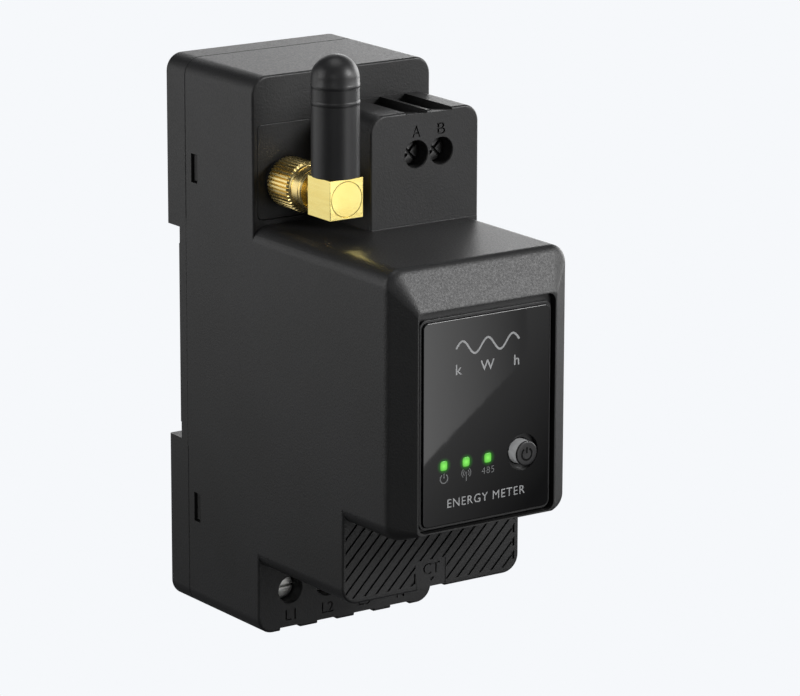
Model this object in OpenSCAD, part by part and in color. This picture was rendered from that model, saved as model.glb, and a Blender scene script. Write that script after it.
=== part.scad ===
// DIN-rail electricity meter, two modules wide, with a stubby right-angle aerial.
// The origin is the middle of the rail seat: +Z is up, the front faces -Y, the rail is behind at +Y.

/* [Case] */
// Width of the case: two 18 mm modules
case_w = 36; // [35.6:0.1:36.4]
// Height of the case
case_h = 96.4; // [95.8:0.1:97.6]
// Corner radius of the case outline, seen from the front
corner_r = 3; // [2.4:0.1:3.4]
// Wall thickness of the case
wall = 1.8; // [1.6:0.1:2]
// Depth of the rear cover, from the back edge to its seam
cover_d = 6.1; // [5.9:0.1:6.3]
// Depth of the upper step, which carries the aerial
upper_d = 27; // [26.8:0.1:27.2]
// Depth of the lower step, which carries the mains terminals
lower_d = 28; // [27.8:0.1:28.2]
// Depth of the ribbed step under the nose
ribbed_d = 53.5; // [53:0.1:54]
// Depth at which the nose starts to bevel
nose_d = 65.9; // [65.7:0.1:66.1]
// Depth of the nose's front rim
face_d = 69; // [68.9:0.1:69.2]

/* [Rail] */
// Height of the top-hat rail across its flanges
rail_h = 35; // [34.8:0.1:35.2]
// Thickness of the rail's flange
rail_t = 1; // [0.9:0.1:1.1]
// How far the rail seat lies in from the back edge
rail_recess = 3.8; // [3.7:0.1:3.9]
// Pull of the rail latch
latch_travel = 4; // [3:0.5:4.5]

/* [Terminals] */
// Pitch of the mains terminals
mains_pitch = 7.62; // [7.5:0.01:7.7]
// Pitch of the bus terminals
bus_pitch = 5.08; // [5:0.01:5.1]
// Radius of the screwdriver wells over the mains screws
mains_well_r = 2.35; // [2.3:0.01:2.4]
// Radius of the screwdriver wells over the bus screws
bus_well_r = 2.3; // [2.25:0.01:2.32]

/* [Front panel] */
// Width of the glossy panel
panel_w = 25.3; // [25:0.1:25.6]
// Radius of the button
button_r = 2.1; // [2:0.05:2.15]
// Travel of the button
button_travel = 0.5; // [0.3:0.1:0.6]

/* [Aerial] */
// Radius of the rubber whip
whip_r = 4.03; // [3.8:0.01:4.1]
// Height of the whip's top above the bottom of the case
whip_top = 102.1; // [101:0.1:104]
// Radius of the knurled coupling nut
nut_r = 4.3; // [4.1:0.1:4.5]

/* [Hidden] */
$fn = 64;
eps = 0.01;

half_w = case_w / 2;
mid_h = case_h / 2;
// Steps of the front, as heights above the bottom of the case.
ribbed_h = 11.9;
nose_h = [25.9, 71.2];
bus_h = 90.45;
bus_x = -3.9;
bus_d = 41.1;
bus_corner_r = 2.9;
// Bevels of the nose: sides, top and bottom.
bevel_side = 4.1;
bevel_top = 6.9;
bevel_foot = 1.1;

// Rail recess and the plastic around it.
recess_h = [mid_h - 18.7, mid_h + 18.7];
seat_relief = 0.2;
flange_gap = 0.2;
lip_front = rail_recess - rail_t - flange_gap;
lip_reach = 1.4;
hook_x = 14;

// Latch and its T-shaped channel.
latch_x = 9;
latch_flange_x = 10;
latch_d = [0.4, 3.4];
latch_flange_d = 1.7;
slide_gap = 0.15;
// Window in the latch for its spring, and the fixed stop inside the window.
latch_window_x = 2.4;
latch_window_h = [7, 17 + latch_travel];
latch_stop_x = 2.2;
latch_stop_h = [7.3, 9.3];

// Circuit boards: thickness, and the depth of each board's rear face.
board_t = 1.6;
power_board_d = 8.6;
comms_board_d = 22.8;
display_board_d = 59.8;
power_front = power_board_d + board_t;
comms_front = comms_board_d + board_t;
display_front = display_board_d + board_t;
riser_x = [4, 5.6];
// Transformer frame: its box, its outer limbs and its yokes.
trafo_x = [-13.5, 1.5];
trafo_d = [power_front + 2, power_front + 15];
trafo_h = [27, 44];
trafo_side = 2.5;
trafo_yoke = 3;

// Mains terminals, seen along the screw's axis.
mains_h = 7.1;
mains_x = [for (i = [0:3]) (i - 1.5) * mains_pitch];
mains_screw_d = [23.9, 25.5];
mains_bar_d = [17, 18];
mains_cage_d = [11.5, 19.8];
mains_travel = 3;
// Bus terminals.
bus_screw_h = 83.2;
bus_mid_x = 7.85;
bus_screw_x = [bus_mid_x - bus_pitch / 2, bus_mid_x + bus_pitch / 2];
bus_screw_d = [37.3, 38.7];
bus_bar_d = [30.9, 31.7];
bus_cage_d = [26.9, 33];
bus_travel = 2.4;

// Panel, lights and button.
panel_h = [28.1, 62.3];
panel_d = [67.8, 68.8];
rim_x = 13.65;
rim_h = [27.25, 64.1];
pocket_d = 66.6;
light_h = 38.1;
light_x = [-8.5, -4.05, 0.3];
light_size = [1.5, 1.7];
button_x = 7.3;
button_h = 38;
button_front = 70;
collar_d = [65.4, 66.3];
stem_d = 63.9;
switch_bore_r = 1.25;
switch_floor_d = display_front + 0.25;
plunger_rear_d = switch_floor_d + button_travel + 0.05;

// Current-transformer socket.
ct_x = [-2.6, 2.6];
ct_d = [42, 48];
ct_body_h = [ribbed_h + wall + 0.05, 23];
ct_pin_half = 0.25;
ct_pin_low = 16.6;

// Aerial: the connector's axis, and the whip's axis in front of it.
sma_x = -11.6;
sma_h = 78.4;
antenna_plate_x = [-half_w + 1, -half_w + 11.95];
antenna_plate_h = [72.05, 88.25];
whip_d = 42.1;
elbow_half = 3.28;
elbow_d = [38.8, 45.4];
elbow_h = [75.05, 81.8];
turn_gap = 0.05;
jack_r = 3.15;
jack_bore_r = 2.05;
socket_r = 0.7;
jack_end = 33.2;
nut_d = [27.9, 34.3, 37.2];
ring_d = [34.1, 34.6];
ring_r = [2.8, 3.33];
plug_r = 2.5;
plug_bore_r = 2;
pin_r = 0.44;
cap_d = elbow_d[1] - 0.8;
cap_r = 2.95;

// Y value of a depth measured forwards from the back edge of the case.
function fy(d) = rail_recess - d;
// Z value of a height measured up from the bottom of the case.
function fz(h) = h - mid_h;

// A block between two X values, two depths and two heights.
module block(x, d, h)
    translate([x[0], fy(d[1]), fz(h[0])])
        cube([x[1] - x[0], d[1] - d[0], h[1] - h[0]]);

// A plate between two depths: the child is its outline in X and height.
module plate(d)
    translate([0, fy(d[0]), fz(0)])
        rotate([90, 0, 0])
            linear_extrude(d[1] - d[0])
                children();

// A bar between two X values: the child is its outline in depth and height.
module bar(x)
    translate([x[1], fy(0), fz(0)])
        rotate([90, 0, -90])
            linear_extrude(x[1] - x[0])
                children();

// A round rod along the depth, and one that stands upright.
module rod(x, h, r, d)
    translate([x, fy(d[0]), fz(h)])
        rotate([90, 0, 0])
            cylinder(h = d[1] - d[0], r = r);
module stick(x, d, r, h)
    translate([x, fy(d), fz(h[0])])
        cylinder(h = h[1] - h[0], r = r);

// A rounded rectangle between two X values and two heights.
module rounded(x, h, r) {
    translate([x[0] + r, h[0]])
        square([x[1] - x[0] - 2 * r, h[1] - h[0]]);
    translate([x[0], h[0] + r])
        square([x[1] - x[0], h[1] - h[0] - 2 * r]);
    for (cx = [x[0] + r, x[1] - r], ch = [h[0] + r, h[1] - r])
        translate([cx, ch])
            circle(r);
}

// A closed round tube of radius r along a list of points, with square-cut ends.
module tube_along(path, r, sides = 8) {
    last = len(path) - 1;
    function along(i) = path[min(i + 1, last)] - path[max(i - 1, 0)];
    function unit(v) = v / norm(v);
    rings = [for (i = [0:last])
        let (t = unit(along(i)), u = unit(cross(t, [0.13, 0.99, 0.05])), v = cross(t, u))
            for (k = [0:sides - 1])
                path[i] + r * (cos(360 * k / sides) * u + sin(360 * k / sides) * v)];
    skins = [for (i = [0:last - 1], k = [0:sides - 1])
        let (a = i * sides + k, b = i * sides + (k + 1) % sides)
            for (tri = [[a, b, b + sides], [a, b + sides, a + sides]]) tri];
    first_cap = [for (k = [sides - 1:-1:0]) k];
    last_cap = [for (k = [0:sides - 1]) last * sides + k];
    polyhedron(points = rings, faces = concat([first_cap], skins, [last_cap]));
}

// The stepped shape of the case, with every outside face moved in by t.
module case_shape(t = 0) {
    x = [-half_w + t, half_w - t];
    r = corner_r - t;
    back = t > 0 ? cover_d - 1 : cover_d;
    face_x = half_w - bevel_side - t;
    plate([back, upper_d - t])
        rounded(x, [t, case_h - t], r);
    plate([back, lower_d - t])
        rounded(x, [t, mid_h], r);
    plate([back, ribbed_d - t])
        rounded(x, [ribbed_h + t, nose_h[1] - t], r);
    plate([back, nose_d - t])
        rounded(x, [nose_h[0] + t, nose_h[1] - t], r);
    hull() {
        plate([nose_d - t - eps, nose_d - t])
            rounded(x, [nose_h[0] + t, nose_h[1] - t], r);
        plate([face_d - t - eps, face_d - t])
            rounded([-face_x, face_x], [nose_h[0] + bevel_foot + t, nose_h[1] - bevel_top - t],
                corner_r - wall);
    }
    plate([back, bus_d - t])
        rounded([bus_x + t, half_w - t], [mid_h, bus_h - t], bus_corner_r - t);
}

// Wire ways cut into the case: a sloping lead-in and the hole behind it.
module mains_wire_ways() {
    entry_x = 2.15;
    entry_d = [12.5, 17.2];
    lead_in = 0.57;
    for (x = mains_x) {
        block([x - entry_x, x + entry_x], entry_d, [-1, wall + 1]);
        bar([x - entry_x, x + entry_x])
            polygon([[entry_d[1], -1], [lower_d + 1, -1], [lower_d + 1, lead_in],
                [lower_d, lead_in], [entry_d[1], wall]]);
    }
}

module bus_wire_ways() {
    entry_x = 2.2;
    entry_d = [upper_d + 0.3, 31];
    lead_in = 0.45;
    for (x = bus_screw_x) {
        block([x - entry_x, x + entry_x], entry_d, [bus_h - wall - 1, bus_h + 1]);
        bar([x - entry_x, x + entry_x])
            polygon([[entry_d[1], bus_h + 1], [bus_d + 1, bus_h + 1], [bus_d + 1, bus_h - lead_in],
                [bus_d, bus_h - lead_in], [entry_d[1], bus_h - wall]]);
    }
}

// Grooves of the ribbed step, rising to the right, left out around the socket's mark.
module rib_grooves() {
    groove_pitch = 2.35;
    groove_w = 0.4;
    groove_deep = 0.35;
    field_x = [-17.4, 17.1];
    field_h = [12.9, 25.6];
    mark_x = [-3.3, 3];
    mark_h = 17;
    tick_h = [1.2, 2.3];
    rise = field_h[1] - field_h[0];
    count = ceil((field_x[1] - field_x[0] + rise) / groove_pitch);
    floor_d = ribbed_d - groove_deep;
    difference() {
        intersection() {
            block(field_x, [floor_d, ribbed_d + 1], field_h);
            for (i = [0:count])
                translate([field_x[0] - rise + i * groove_pitch, fy(ribbed_d + 1), fz(field_h[0])])
                    rotate([0, -45, 0])
                        translate([-groove_w, 0, -groove_w / 2])
                            cube([rise * 1.5, groove_deep + 1, groove_w]);
        }
        block(mark_x, [floor_d - 1, ribbed_d + 2], [ribbed_h, mark_h]);
    }
    // Short upright ends where the grooves meet the right-hand edge
    for (i = [0:4])
        block([field_x[1] - groove_w, field_x[1]], [floor_d, ribbed_d + 1],
            [field_h[0] + tick_h[0] + i * groove_pitch, field_h[0] + tick_h[1] + i * groove_pitch]);
}

// Ribs on the side walls that grip a board's edges.
module board_grips(board_d, h) {
    grip = [half_w - wall - 0.9, half_w - wall + 0.2];
    for (side = [0, 1], d = [board_d - 1.1, board_d + board_t + 0.1])
        mirror([side, 0, 0])
            block(grip, [d, d + 1], h);
}

module front_housing() {
    window_d = [7.9, 9.8];
    window_h = [[75.4, 80.4], [15.55, 20.7]];
    plate_pocket_d = upper_d - 1;
    plate_gap = 0.05;
    jack_hole_r = 3.6;
    ct_margin = 0.2;
    ct_notch = 0.4;
    color("dimgray") {
        difference() {
            case_shape();
            case_shape(wall);
            // Pocket for the panel and its carrier
            plate([pocket_d, face_d + 1])
                rounded([-rim_x, rim_x], rim_h, 1.4);
            for (x = mains_x)
                rod(x, mains_h, mains_well_r, [lower_d - wall - 1, lower_d + 1]);
            for (x = bus_screw_x)
                rod(x, bus_screw_h, bus_well_r, [bus_d - wall - 1, bus_d + 1]);
            mains_wire_ways();
            bus_wire_ways();
            // Flush seat of the aerial's plate, and the jack's hole through it
            plate([plate_pocket_d, upper_d + 1])
                rounded([antenna_plate_x[0] - plate_gap, antenna_plate_x[1] + plate_gap],
                    [antenna_plate_h[0] - plate_gap, antenna_plate_h[1] + plate_gap], 1);
            rod(sma_x, sma_h, jack_hole_r, [upper_d - wall - 1, upper_d + 1]);
            // Mouth of the current-transformer socket, and its finger notch
            block([ct_x[0] - ct_margin, ct_x[1] + ct_margin], [ct_d[0] - ct_margin, ct_d[1] + ct_margin],
                [ribbed_h - 1, ribbed_h + wall + 1]);
            block([ct_x[0] - ct_margin, ct_x[1] + ct_margin], [ct_d[1], ribbed_d + 1],
                [ribbed_h - 1, ribbed_h + ct_notch]);
            for (side = [0, 1], h = window_h)
                mirror([side, 0, 0])
                    block([half_w - wall - 1, half_w + 1], window_d, h);
            rib_grooves();
        }
        board_grips(display_board_d, [34, 60]);
        board_grips(comms_board_d, [81.5, 92]);
    }
}

module rear_cover() {
    pocket_wall = 1.8;
    pocket_x = half_w - pocket_wall;
    hook_shoulder = rail_h / 2 + 0.1;
    channel_floor = latch_d[1] + 0.2;
    arm_x = [14.95, half_w - wall - 0.05];
    arm_h = [[75.7, 80.1], [15.85, 20.4]];
    arm_end_d = 10.4;
    barb_x = half_w - 0.5;
    barb_d = [8.1, 9.6];
    post_x = 12;
    post_h = [24.5, 88];
    color("dimgray") {
        difference() {
            plate([0, cover_d])
                rounded([-half_w, half_w], [0, case_h], corner_r);
            // Rail recess with its raised seat left standing
            difference() {
                block([-half_w - 1, half_w + 1], [-1, rail_recess + seat_relief], recess_h);
                block([-half_w - 2, half_w + 2], [rail_recess, rail_recess + 1],
                    [mid_h - rail_h / 2 + 1.7, mid_h + rail_h / 2 - 1.7]);
            }
            // Hollow above the rail, open to the inside of the case
            plate([pocket_wall, cover_d + 1])
                rounded([-pocket_x, pocket_x], [recess_h[1] + pocket_wall, case_h - pocket_wall], 1.2);
            // Hollow below the rail, in front of the latch channel
            plate([channel_floor + 1.5, cover_d + 1])
                rounded([-pocket_x, pocket_x], [pocket_wall, recess_h[0] - pocket_wall], 1.2);
            // T-shaped latch channel
            block([-latch_x - slide_gap, latch_x + slide_gap], [-1, channel_floor],
                [-1, recess_h[0] + 1]);
            block([-latch_flange_x - slide_gap, latch_flange_x + slide_gap],
                [latch_flange_d - slide_gap, channel_floor], [-1, recess_h[0] + 1]);
        }
        // Fixed hook over the rail's upper flange
        block([-hook_x, hook_x], [0.4, lip_front],
            [mid_h + rail_h / 2 - lip_reach, recess_h[1] + 0.5]);
        block([-hook_x, hook_x], [lip_front - eps, rail_recess + seat_relief + 0.5],
            [mid_h + hook_shoulder, recess_h[1] + 0.5]);
        // Stop inside the latch's window, which also holds the spring's foot
        block([-latch_stop_x, latch_stop_x], [latch_d[0] + 0.2, channel_floor + 0.5], latch_stop_h);
        // Snap arms and their barbs
        for (side = [0, 1], h = arm_h)
            mirror([side, 0, 0]) {
                block(arm_x, [pocket_wall - 0.8, arm_end_d], h);
                translate([0, 0, fz(h[0])])
                    linear_extrude(h[1] - h[0])
                        polygon([[arm_x[1] - 0.1, fy(barb_d[0])], [barb_x, fy(barb_d[0])],
                            [arm_x[1] - 0.1, fy(barb_d[1])]]);
            }
        // Posts behind the power board
        for (x = [-post_x, post_x], h = post_h)
            rod(x, h, 1.6, [recess_h[0] > h ? channel_floor + 1 : 1, power_board_d]);
    }
}

module din_latch() {
    latch_top = mid_h - rail_h / 2 + lip_reach;
    foot = 0.3;
    tool_slot_x = 3;
    tool_slot_h = [2.2, 4.2];
    color("darkslategray")
        difference() {
            union() {
                block([-latch_x, latch_x], [latch_d[0], latch_d[1]], [foot, mid_h - rail_h / 2 - 0.1]);
                block([-latch_flange_x, latch_flange_x], [latch_flange_d, latch_d[1]], [foot, 25]);
                // Lip over the rail's lower flange, sloped so that the rail pushes it aside
                bar([-latch_x, latch_x])
                    polygon([[latch_d[0], foot + 1], [lip_front, foot + 1], [lip_front, latch_top],
                        [lip_front - 0.6, latch_top], [latch_d[0], latch_top - 1.6]]);
            }
            block([-latch_window_x, latch_window_x], [-1, latch_d[1] + 1], latch_window_h);
            block([-tool_slot_x, tool_slot_x], [-1, latch_d[1] + 1], tool_slot_h);
        }
}

module latch_spring() {
    turns = 7;
    per_turn = 10;
    wire_r = 0.22;
    coil_r = 1.15;
    spring_h = [latch_stop_h[1] + wire_r + 0.05, latch_window_h[1] - wire_r - 0.05];
    mid_d = (latch_d[0] + latch_d[1]) / 2;
    steps = turns * per_turn;
    color("silver")
        tube_along([for (i = [0:steps])
            let (a = 360 * i / per_turn)
                [coil_r * cos(a), fy(mid_d) + coil_r * sin(a),
                    fz(spring_h[0] + (spring_h[1] - spring_h[0]) * i / steps)]], wire_r, 8);
}

module antenna_plate() {
    color("dimgray")
        difference() {
            plate([upper_d - 1, upper_d])
                rounded(antenna_plate_x, antenna_plate_h, 0.95);
            rod(sma_x, sma_h, jack_r + 0.1, [upper_d - 2, upper_d + 1]);
        }
}

module panel_carrier() {
    lip_in_x = panel_w / 2 + 0.05;
    lip_out_x = panel_w / 2 + 0.5;
    lip_proud = 0.6;
    hole_r = 2.3;
    color("black")
        difference() {
            union() {
                plate([pocket_d, panel_d[0]])
                    rounded([-rim_x + 0.1, rim_x - 0.1], [rim_h[0] + 0.1, rim_h[1] - 0.1], 1.3);
                difference() {
                    plate([panel_d[0] - eps, panel_d[0] + lip_proud])
                        rounded([-lip_out_x, lip_out_x], [panel_h[0] - 0.5, panel_h[1] + 0.5], 1.4);
                    plate([panel_d[0] - 1, panel_d[0] + 1])
                        rounded([-lip_in_x, lip_in_x], [panel_h[0] - 0.05, panel_h[1] + 0.05], 1.05);
                }
            }
            rod(button_x, button_h, hole_r, [pocket_d - 1, panel_d[0] + 1]);
            for (x = light_x)
                light_window(x, [pocket_d - 1, panel_d[0] + 1]);
        }
}

// The outline of one status light, cut or built between two depths.
module light_window(x, d)
    plate(d)
        rounded([x - light_size[0] / 2, x + light_size[0] / 2],
            [light_h - light_size[1] / 2, light_h + light_size[1] / 2], 0.35);

module front_panel() {
    dish_r = 3.1;
    color("black")
        difference() {
            plate(panel_d)
                rounded([-panel_w / 2, panel_w / 2], panel_h, 1);
            rod(button_x, button_h, dish_r, [panel_d[0] - 1, panel_d[1] + 1]);
            for (x = light_x)
                light_window(x, [panel_d[0] - 1, panel_d[1] + 1]);
        }
}

// One light guide, from just in front of its LED to the face of the panel.
module light_guide(i)
    color("lime")
        light_window(light_x[i], [display_front + 1, panel_d[1]]);
module power_light() light_guide(0);
module radio_light() light_guide(1);
module bus_light() light_guide(2);

module led_chips() {
    chip = [1.6, 0.9, 1.2];
    color("lightyellow")
        for (x = light_x)
            block([x - chip[0] / 2, x + chip[0] / 2], [display_front, display_front + chip[1]],
                [light_h - chip[2] / 2, light_h + chip[2] / 2]);
}

// Cap, collar behind the carrier, and a stem down to the switch.
module button_cap() {
    edge = 0.25;
    symbol_r = [0.85, 1.15];
    symbol_deep = 0.25;
    symbol_d = [button_front - symbol_deep, button_front + 1];
    bar_w = 0.3;
    collar_r = 2.8;
    stem_r = 0.9;
    color("gray")
        difference() {
            union() {
                rod(button_x, button_h, button_r, [collar_d[0], button_front - edge]);
                translate([button_x, fy(button_front - edge), fz(button_h)])
                    rotate([90, 0, 0])
                        cylinder(h = edge, r1 = button_r, r2 = button_r - edge);
                rod(button_x, button_h, collar_r, collar_d);
                rod(button_x, button_h, stem_r, [stem_d, collar_d[0] + 0.1]);
            }
            // Engraved ring with a gap at the top, and an upright stroke in the gap
            difference() {
                rod(button_x, button_h, symbol_r[1], symbol_d);
                rod(button_x, button_h, symbol_r[0], [symbol_d[0] - 1, symbol_d[1] + 1]);
                block([button_x - 2 * bar_w, button_x + 2 * bar_w], [symbol_d[0] - 1, symbol_d[1] + 1],
                    [button_h, button_h + 2]);
            }
            block([button_x - bar_w / 2, button_x + bar_w / 2], symbol_d,
                [button_h + 0.1, button_h + 1.3]);
        }
}

module switch_plunger()
    color("black")
        rod(button_x, button_h, switch_bore_r - 0.08, [plunger_rear_d, stem_d]);

module tact_switch() {
    half = 2.25;
    switch_t = 1.8;
    color("silver")
        difference() {
            block([button_x - half, button_x + half], [display_front, display_front + switch_t],
                [button_h - half, button_h + half]);
            rod(button_x, button_h, switch_bore_r, [switch_floor_d, display_front + 3]);
        }
}

module display_board()
    color("darkgreen")
        plate([display_board_d, display_front])
            rounded([-15.6, 15.6], [28.4, 69], 0.6);

module riser_board()
    color("darkgreen")
        bar(riser_x)
            polygon([[power_front, 14], [51.2, 14], [51.2, 28.4], [display_board_d, 28.4],
                [display_board_d, 69], [comms_board_d, 69], [comms_board_d, 92], [power_front, 92]]);

module power_board()
    color("darkgreen")
        difference() {
            plate([power_board_d, power_front])
                rounded([-14.7, 14.7], [2.4, 93.6], 0.6);
            mains_contacts();
        }

module comms_board()
    color("darkgreen")
        difference() {
            plate([comms_board_d, comms_front])
                rounded([-16, 16], [73, 93.8], 0.6);
            sma_jack();
            jack_contact();
            bus_contacts();
        }

// Mains transformer: a laminated frame around a wound bobbin.
module transformer_core() {
    window_x = 3;
    color("slategray")
        difference() {
            block(trafo_x, trafo_d, trafo_h);
            for (x = [trafo_x[0] + trafo_side, trafo_x[1] - trafo_side - window_x])
                block([x, x + window_x], [trafo_d[0] - 1, trafo_d[1] + 1],
                    [trafo_h[0] + trafo_yoke, trafo_h[1] - trafo_yoke]);
        }
}

module transformer_winding() {
    gap = 0.1;
    limb_x = trafo_side + 3;
    color("goldenrod")
        difference() {
            block([trafo_x[0] + trafo_side + gap, trafo_x[1] - trafo_side - gap],
                [power_front, trafo_d[1] + 2],
                [trafo_h[0] + trafo_yoke + gap, trafo_h[1] - trafo_yoke - gap]);
            block([trafo_x[0] + limb_x, trafo_x[1] - limb_x], trafo_d, trafo_h);
        }
}

module bulk_capacitors() {
    can_r = 4;
    can_len = 13;
    color("midnightblue")
        for (h = [52, 62])
            rod(-10, h, can_r, [power_front, power_front + can_len]);
}

module mains_varistor() {
    disc_r = 4.6;
    disc_t = 3.4;
    x = -7;
    h = 18;
    stand_off = 2.5;
    lead_x = 2.5;
    lead_r = 0.4;
    color("royalblue") {
        translate([x, fy(power_front + stand_off + disc_r), fz(h - disc_t / 2)])
            cylinder(h = disc_t, r = disc_r);
        for (side = [-lead_x, lead_x])
            rod(x + side, h, lead_r, [power_front, power_front + stand_off + 2]);
    }
}

// Chips on the right-hand side of the riser board.
module riser_chip(d, h, thick, tone)
    color(tone)
        block([riser_x[1], riser_x[1] + thick], d, h);
module metering_chip() riser_chip([14, 21], [20, 27], 1.4, "black");
module processor_chip() riser_chip([32, 41], [34, 43], 1.4, "black");
module radio_module() riser_chip([30, 45], [48, 66], 0.8, "teal");
module radio_shield()
    color("silver")
        block([riser_x[1] + 0.8, riser_x[1] + 3.2], [31, 44], [49, 61]);

// Mains terminal block: four chambers, screw wells and wire entries in one moulding.
module mains_terminal_block() {
    body_x = 15.3;
    body_top = 13.6;
    chamber_x = 3.25;
    entry_x = 2.15;
    chamber_h = [3.9, 10.4];
    chamber_d = [mains_cage_d[0] - 0.3, mains_cage_d[1] + mains_travel + 0.4];
    shank_hole_r = 1.6;
    color("darkgray")
        difference() {
            block([-body_x, body_x], [power_front, lower_d - wall], [wall + 0.1, body_top]);
            for (x = mains_x) {
                block([x - chamber_x, x + chamber_x], chamber_d, chamber_h);
                block([x - entry_x, x + entry_x], [12.5, 16.9], [0, chamber_h[0] + 1]);
                rod(x, mains_h, mains_well_r, [mains_screw_d[0], lower_d]);
                rod(x, mains_h, shank_hole_r, [chamber_d[1] - 1, mains_screw_d[0] + 1]);
            }
            mains_contacts();
        }
}

// A contact: the bar inside the clamp, and its leg back to the board.
module contact(x, half, bar_d, h, leg_t, leg_d) {
    block([x - half, x + half], bar_d, h);
    block([x - half, x + half], [leg_d, bar_d[1]], [h[1] - leg_t, h[1]]);
}

module mains_contacts()
    color("gold")
        for (x = mains_x)
            contact(x, 2, mains_bar_d, [3.6, 12.2], 1, power_board_d);

module bus_contacts()
    color("gold")
        for (x = bus_screw_x)
            mirror([0, 0, 1])
                translate([0, 0, -2 * fz(bus_screw_h)])
                    contact(x, 1.3, bus_bar_d, [bus_screw_h - 3.4, bus_screw_h + 3.8], 0.8,
                        comms_board_d);

// A terminal screw: a slotted or crossed head, and a shank that ends on the contact bar.
module terminal_screw(x, h, head_d, head_r, shank_r, tip_d, slot_w, crossed) {
    slot_deep = 0.8;
    slot_d = [head_d[1] - slot_deep, head_d[1] + 1];
    difference() {
        union() {
            rod(x, h, head_r, head_d);
            rod(x, h, shank_r, [tip_d, head_d[0] + 0.1]);
        }
        translate([x, 0, fz(h)])
            for (turn = crossed ? [45, -45] : [0])
                rotate([0, turn, 0])
                    translate([-head_r - 1, fy(slot_d[1]), -slot_w / 2])
                        cube([2 * head_r + 2, slot_d[1] - slot_d[0], slot_w]);
    }
}

module mains_screw(i)
    color("silver")
        terminal_screw(mains_x[i], mains_h, mains_screw_d, 2.15, 1.5, mains_bar_d[1] + turn_gap,
            0.7, false);
module screw_l1() mains_screw(0);
module screw_l2() mains_screw(1);
module screw_l3() mains_screw(2);
module screw_n() mains_screw(3);

module bus_screw(i)
    color("dimgray")
        terminal_screw(bus_screw_x[i], bus_screw_h, bus_screw_d, 2.1, 1.25, bus_bar_d[1] + turn_gap,
            0.6, true);
module screw_a() bus_screw(0);
module screw_b() bus_screw(1);

// A rising clamp: a loop that the screw draws forwards around the contact bar.
module rising_clamp(x, h, d, half, inner, reach, front_t, rear_t, hole_r) {
    difference() {
        block([x - half, x + half], d, [h - reach, h + reach]);
        block([x - inner, x + inner], [d[0] + rear_t, d[1] - front_t], [h - reach - 1, h + reach + 1]);
        rod(x, h, hole_r, [d[1] - front_t - 1, d[1] + 1]);
    }
}

module mains_clamp(i)
    color("lightsteelblue")
        rising_clamp(mains_x[i], mains_h, mains_cage_d, 3.05, 2.3, 3, 1.6, 0.8, 1.5 + turn_gap);
module clamp_l1() mains_clamp(0);
module clamp_l2() mains_clamp(1);
module clamp_l3() mains_clamp(2);
module clamp_n() mains_clamp(3);

module bus_clamp(i)
    color("lightsteelblue")
        rising_clamp(bus_screw_x[i], bus_screw_h, bus_cage_d, 2.1, 1.6, 2.7, 1.2, 0.5,
            1.25 + turn_gap);
module clamp_a() bus_clamp(0);
module clamp_b() bus_clamp(1);

module bus_terminal_block() {
    chamber_x = 2.3;
    chamber_h = [80.1, 86.4];
    chamber_d = [bus_cage_d[0] - 0.3, bus_cage_d[1] + bus_travel + 0.4];
    entry_x = 1.6;
    entry_d = [27.4, 30.8];
    body_x = 5.6;
    body_low = 77;
    shank_hole_r = 1.35;
    color("darkgray")
        difference() {
            block([bus_mid_x - body_x, bus_mid_x + body_x], [comms_front, bus_d - wall],
                [body_low, bus_h - wall - 0.05]);
            for (x = bus_screw_x) {
                block([x - chamber_x, x + chamber_x], chamber_d, chamber_h);
                block([x - entry_x, x + entry_x], entry_d, [chamber_h[1] - 1, bus_h]);
                rod(x, bus_screw_h, bus_well_r, [bus_screw_d[0], bus_d]);
                rod(x, bus_screw_h, shank_hole_r, [chamber_d[1] - 1, bus_screw_d[0] + 1]);
            }
            bus_contacts();
        }
}

// Six-pin socket for the current transformers, open downwards.
module ct_socket() {
    skin = 1;
    color("ivory")
        difference() {
            block([ct_x[0] - skin, riser_x[0]], [ct_d[0] - skin, ct_d[1] + skin], ct_body_h);
            block(ct_x, ct_d, [ct_body_h[0] - 1, ct_body_h[1] - 1.6]);
            ct_pins();
        }
}

module ct_pins() {
    color("gold")
        for (column = [0, 1], d = [43, 45, 47]) {
            x = column * 2 - 1;
            bend_h = ct_body_h[1] + 1.4 - column * 1.1;
            block([x - ct_pin_half, x + ct_pin_half], [d - ct_pin_half, d + ct_pin_half],
                [ct_pin_low, bend_h]);
            block([x - ct_pin_half, riser_x[0]], [d - ct_pin_half, d + ct_pin_half],
                [bend_h - 2 * ct_pin_half, bend_h]);
        }
}

// Bulkhead jack on the comms board, its barrel reaching out through the case.
module sma_jack() {
    flange = 3.4;
    leg = 2.5;
    leg_r = 0.45;
    color("gold")
        difference() {
            union() {
                block([sma_x - flange, sma_x + flange], [comms_front, comms_front + 0.75],
                    [sma_h - flange, sma_h + flange]);
                rod(sma_x, sma_h, jack_r, [comms_front, jack_end]);
                for (dx = [-leg, leg], dh = [-leg, leg])
                    rod(sma_x + dx, sma_h + dh, leg_r, [comms_board_d - 1, comms_front + 0.1]);
            }
            rod(sma_x, sma_h, jack_bore_r, [comms_front - 1, jack_end + 1]);
        }
}

module jack_washer()
    color("black")
        difference() {
            rod(sma_x, sma_h, 3.9, [upper_d, upper_d + 0.5]);
            rod(sma_x, sma_h, jack_r + 0.02, [upper_d - 1, upper_d + 1]);
        }

module jack_insulator()
    color("white")
        difference() {
            rod(sma_x, sma_h, jack_bore_r, [comms_front, jack_end - 0.1]);
            rod(sma_x, sma_h, socket_r, [comms_front - 1, jack_end]);
        }

module jack_contact() {
    bore_r = 0.5;
    bore_d = 28.8;
    color("gold")
        difference() {
            rod(sma_x, sma_h, socket_r, [comms_board_d - 1, jack_end - 0.2]);
            rod(sma_x, sma_h, bore_r, [bore_d, jack_end]);
        }
}

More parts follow.
